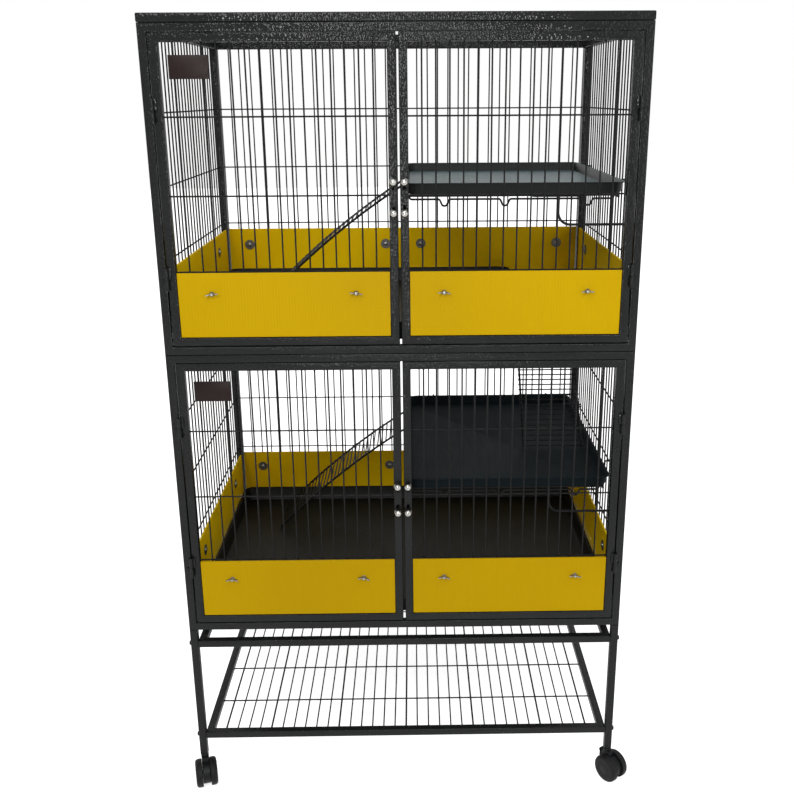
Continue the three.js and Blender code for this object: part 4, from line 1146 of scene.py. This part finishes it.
def build_wheels(name):
    """Two treaded wheels on one axle, each with a dished face and a raised hub cap."""
    place = caster_place(name) @ moved(0, -CASTER_TRAIL, WHEEL_R)
    inner, outer = WHEEL_SPACE / 2, WHEEL_SPACE / 2 + WHEEL_WIDTH
    body = f"caster_{name}_wheel_pair"
    treads = Shape()
    faces = Shape()
    for sign in (-1, 1):
        out = place @ along(ORIGIN, (sign, 0, 0))
        r = WHEEL_R
        tread = [(r - 7, inner), (r - 1.2, inner), (r, inner + 1.2), (r, outer - 6), (r - 0.8, outer - 3.4)]
        tread += [(r - 2.8, outer - 1.3), (r - 5.5, outer - 0.4), (r - 7, outer - 0.4)]
        lathe(treads, tread, 40, out)
        face = [(0, inner + 0.5), (r - 6.8, inner + 0.5), (r - 6.8, outer - 0.8), (r - 8.5, outer - 0.1)]
        face += [(r - 11, outer - 0.6), (12, outer - 1.1), (9.5, outer - 0.2), (7, outer), (0, outer)]
        lathe(faces, face, 40, out)
    axle = [(0, -inner - 1), (4, -inner - 1), (4, inner + 1), (0, inner + 1)]
    lathe(faces, axle, 16, place @ ALONG_X)
    piece(f"caster_{name}_treads", treads, TREAD, body, replaces=[f"caster_{name}_wheels"])
    piece(f"caster_{name}_wheel_faces", faces, NYLON, body)


def build_fork(name):
    """The body between the wheels, its neck and collar, and the stem that runs up into the leg."""
    place = caster_place(name)
    half = WHEEL_SPACE / 2 - 0.4
    shape = Shape()
    side = place @ moved(0, -CASTER_TRAIL, WHEEL_R) @ ALONG_X
    disc = [(4.3, -half), (23, -half), (24, -half + 1), (24, half - 1), (23, half), (4.3, half)]
    lathe(shape, disc, 40, side)
    slab(shape, -half, half, -CASTER_TRAIL, 9, WHEEL_R - 9, COLLAR_Z - 4, 1.2, place)
    collar = [(0, -10), (8, -10), (8.4, -9), (8.4, -1), (7.6, 0), (5, 0), (5, 27), (4, 28), (0, 28)]
    lathe(shape, collar, 28, place @ moved(z=COLLAR_Z))
    body = f"caster_{name}_swivel"
    piece(f"caster_{name}_body", shape, NYLON, body, replaces=[f"caster_{name}_fork"])


def build_brake():
    place = caster_place("front_right") @ moved(0, 11, 47)
    half = WHEEL_SPACE / 2 - SEAT
    shape = Shape()
    lathe(shape, [(0, -half), (3.2, -half), (3.2, half), (0, half)], 18, place @ ALONG_X)
    slab(shape, -half, half, 0, 3, 0, 13.6, 0.5, place)
    slab(shape, -half - 2, half + 2, 0, 3, 11, 17, 0.8, place)
    node = "caster_front_right_brake"
    piece("caster_front_right_pedal", shape, NYLON, f"{node}_lever", replaces=[node])


def build_badges():
    """Bare plates in front of the wires, at the upper left of each left door."""
    for tier, base in BASES.items():
        shape = Shape()
        place = moved(0, FRONT, base)
        slab(shape, -407, -336, 3.6, 4.9, 510, 551, 0.6, place)
        slab(shape, -403, -340, 3.1, 3.9, 514, 547, 0.3, place)
        piece(f"{tier}_bare_badge", shape, BADGE, f"{tier}_left_door")


TIER_PARTS = (build_front_frame, build_walls, build_doors, build_wall_guards)
TIER_PARTS += (build_grid, build_pan, build_shelf_frame, build_tray, build_ramp)
for tier_name, tier_base in BASES.items():
    for build in TIER_PARTS:
        build(tier_name, tier_base)
build_tier_ramp()
top_crosses = [CAGE_DEPTH * i / 4 for i in (1, 2, 3)]
tube_and_wires("top", CAGE_WIDTH, CAGE_DEPTH, laid_flat(TOP_HEIGHT), "cage", "top_panel", top_crosses, 1)
build_stand()
for caster in CASTER_TURNS:
    build_wheels(caster)
    build_fork(caster)
build_brake()
build_badges()

# ---- Floor, light and camera ----


def floor_material():
    """A floor that is white to the camera and in reflections, and that still takes the cage's shadow."""
    material = bpy.data.materials.new("pale_floor")
    nodes = Nodes(material)
    tone = nodes.span(nodes.add("TexNoise", Scale=3).outputs["Fac"], 0.9, 0.94)
    diffuse = nodes.add("BsdfDiffuse", Color=tone)
    glow = nodes.add("Emission", Strength=nodes.math("MULTIPLY", nodes.seen(), FLOOR_GLOW))
    both = nodes.add("AddShader")
    nodes.feed(both, 0, diffuse.outputs[0])
    nodes.feed(both, 1, glow.outputs[0])
    nodes.add("OutputMaterial", Surface=both.outputs[0])
    return material


floor_mesh = bpy.data.meshes.new("floor")
floor_corners = [(-FLOOR_REACH, -FLOOR_REACH, 0), (FLOOR_REACH, -FLOOR_REACH, 0)]
floor_corners += [(FLOOR_REACH, FLOOR_REACH, 0), (-FLOOR_REACH, FLOOR_REACH, 0)]
floor_mesh.from_pydata(floor_corners, [], [(0, 1, 2, 3)])
floor_mesh.materials.append(floor_material())
floor = add_object("floor", floor_mesh)

# The room is white where it is seen, and gives a dimmer light.
world = bpy.data.worlds.new("studio")
bpy.context.scene.world = world
room = Nodes(world)
room_light = room.add("Background", Color=(1, 1, 1, 1), Strength=room.span(room.seen(), ROOM_LIGHT, 1.0))
room.add("OutputWorld", Surface=room_light.outputs[0])


def lamp(name, place, target, size, power):
    data = bpy.data.lights.new(name, "AREA")
    data.shape = "RECTANGLE"
    data.size, data.size_y = size
    data.energy = power
    obj = add_object(name, data)
    obj.location = place
    obj.rotation_euler = (Vector(target) - Vector(place)).to_track_quat("-Z", "Y").to_euler()
    return obj


lamp("key", (-0.9, -3.2, 3.4), (0, 0, 0.9), (1.6, 1.0), 58)
lamp("fill", (2.6, -2.8, 1.8), (0, 0, 0.8), (1.8, 1.8), 28)
lamp("top_glance", (0.3, -1.4, 3.0), (0, 0, 1.3), (0.5, 0.35), 8)
flash = lamp("flash", (-0.08, -2.2, 1.5), (-0.08, 0, 1.5), (0.14, 1.1), 15)
flash.visible_diffuse = False

# The camera stands where the photograph was taken, found from the cage's own corners.
camera_data = bpy.data.cameras.new("camera")
camera = add_object("camera", camera_data)
camera_data.sensor_width = SENSOR_WIDTH
camera_data.lens = FOCAL_PIXELS * SENSOR_WIDTH / IMAGE_SIZE
camera_data.shift_x = -28.92 / IMAGE_SIZE
camera_data.shift_y = -24.24 / IMAGE_SIZE
camera_data.clip_end = 100
looks = Matrix.Rotation(CAMERA_TURN.length, 3, CAMERA_TURN.normalized())
right, forward, up = looks.col[0], looks.col[1], looks.col[2]
basis = Matrix((right, up, -forward)).transposed()
camera.matrix_world = Matrix.Translation(CAMERA_AT) @ basis.to_4x4()
bpy.context.scene.camera = camera
bpy.context.scene.view_settings.view_transform = "Standard"
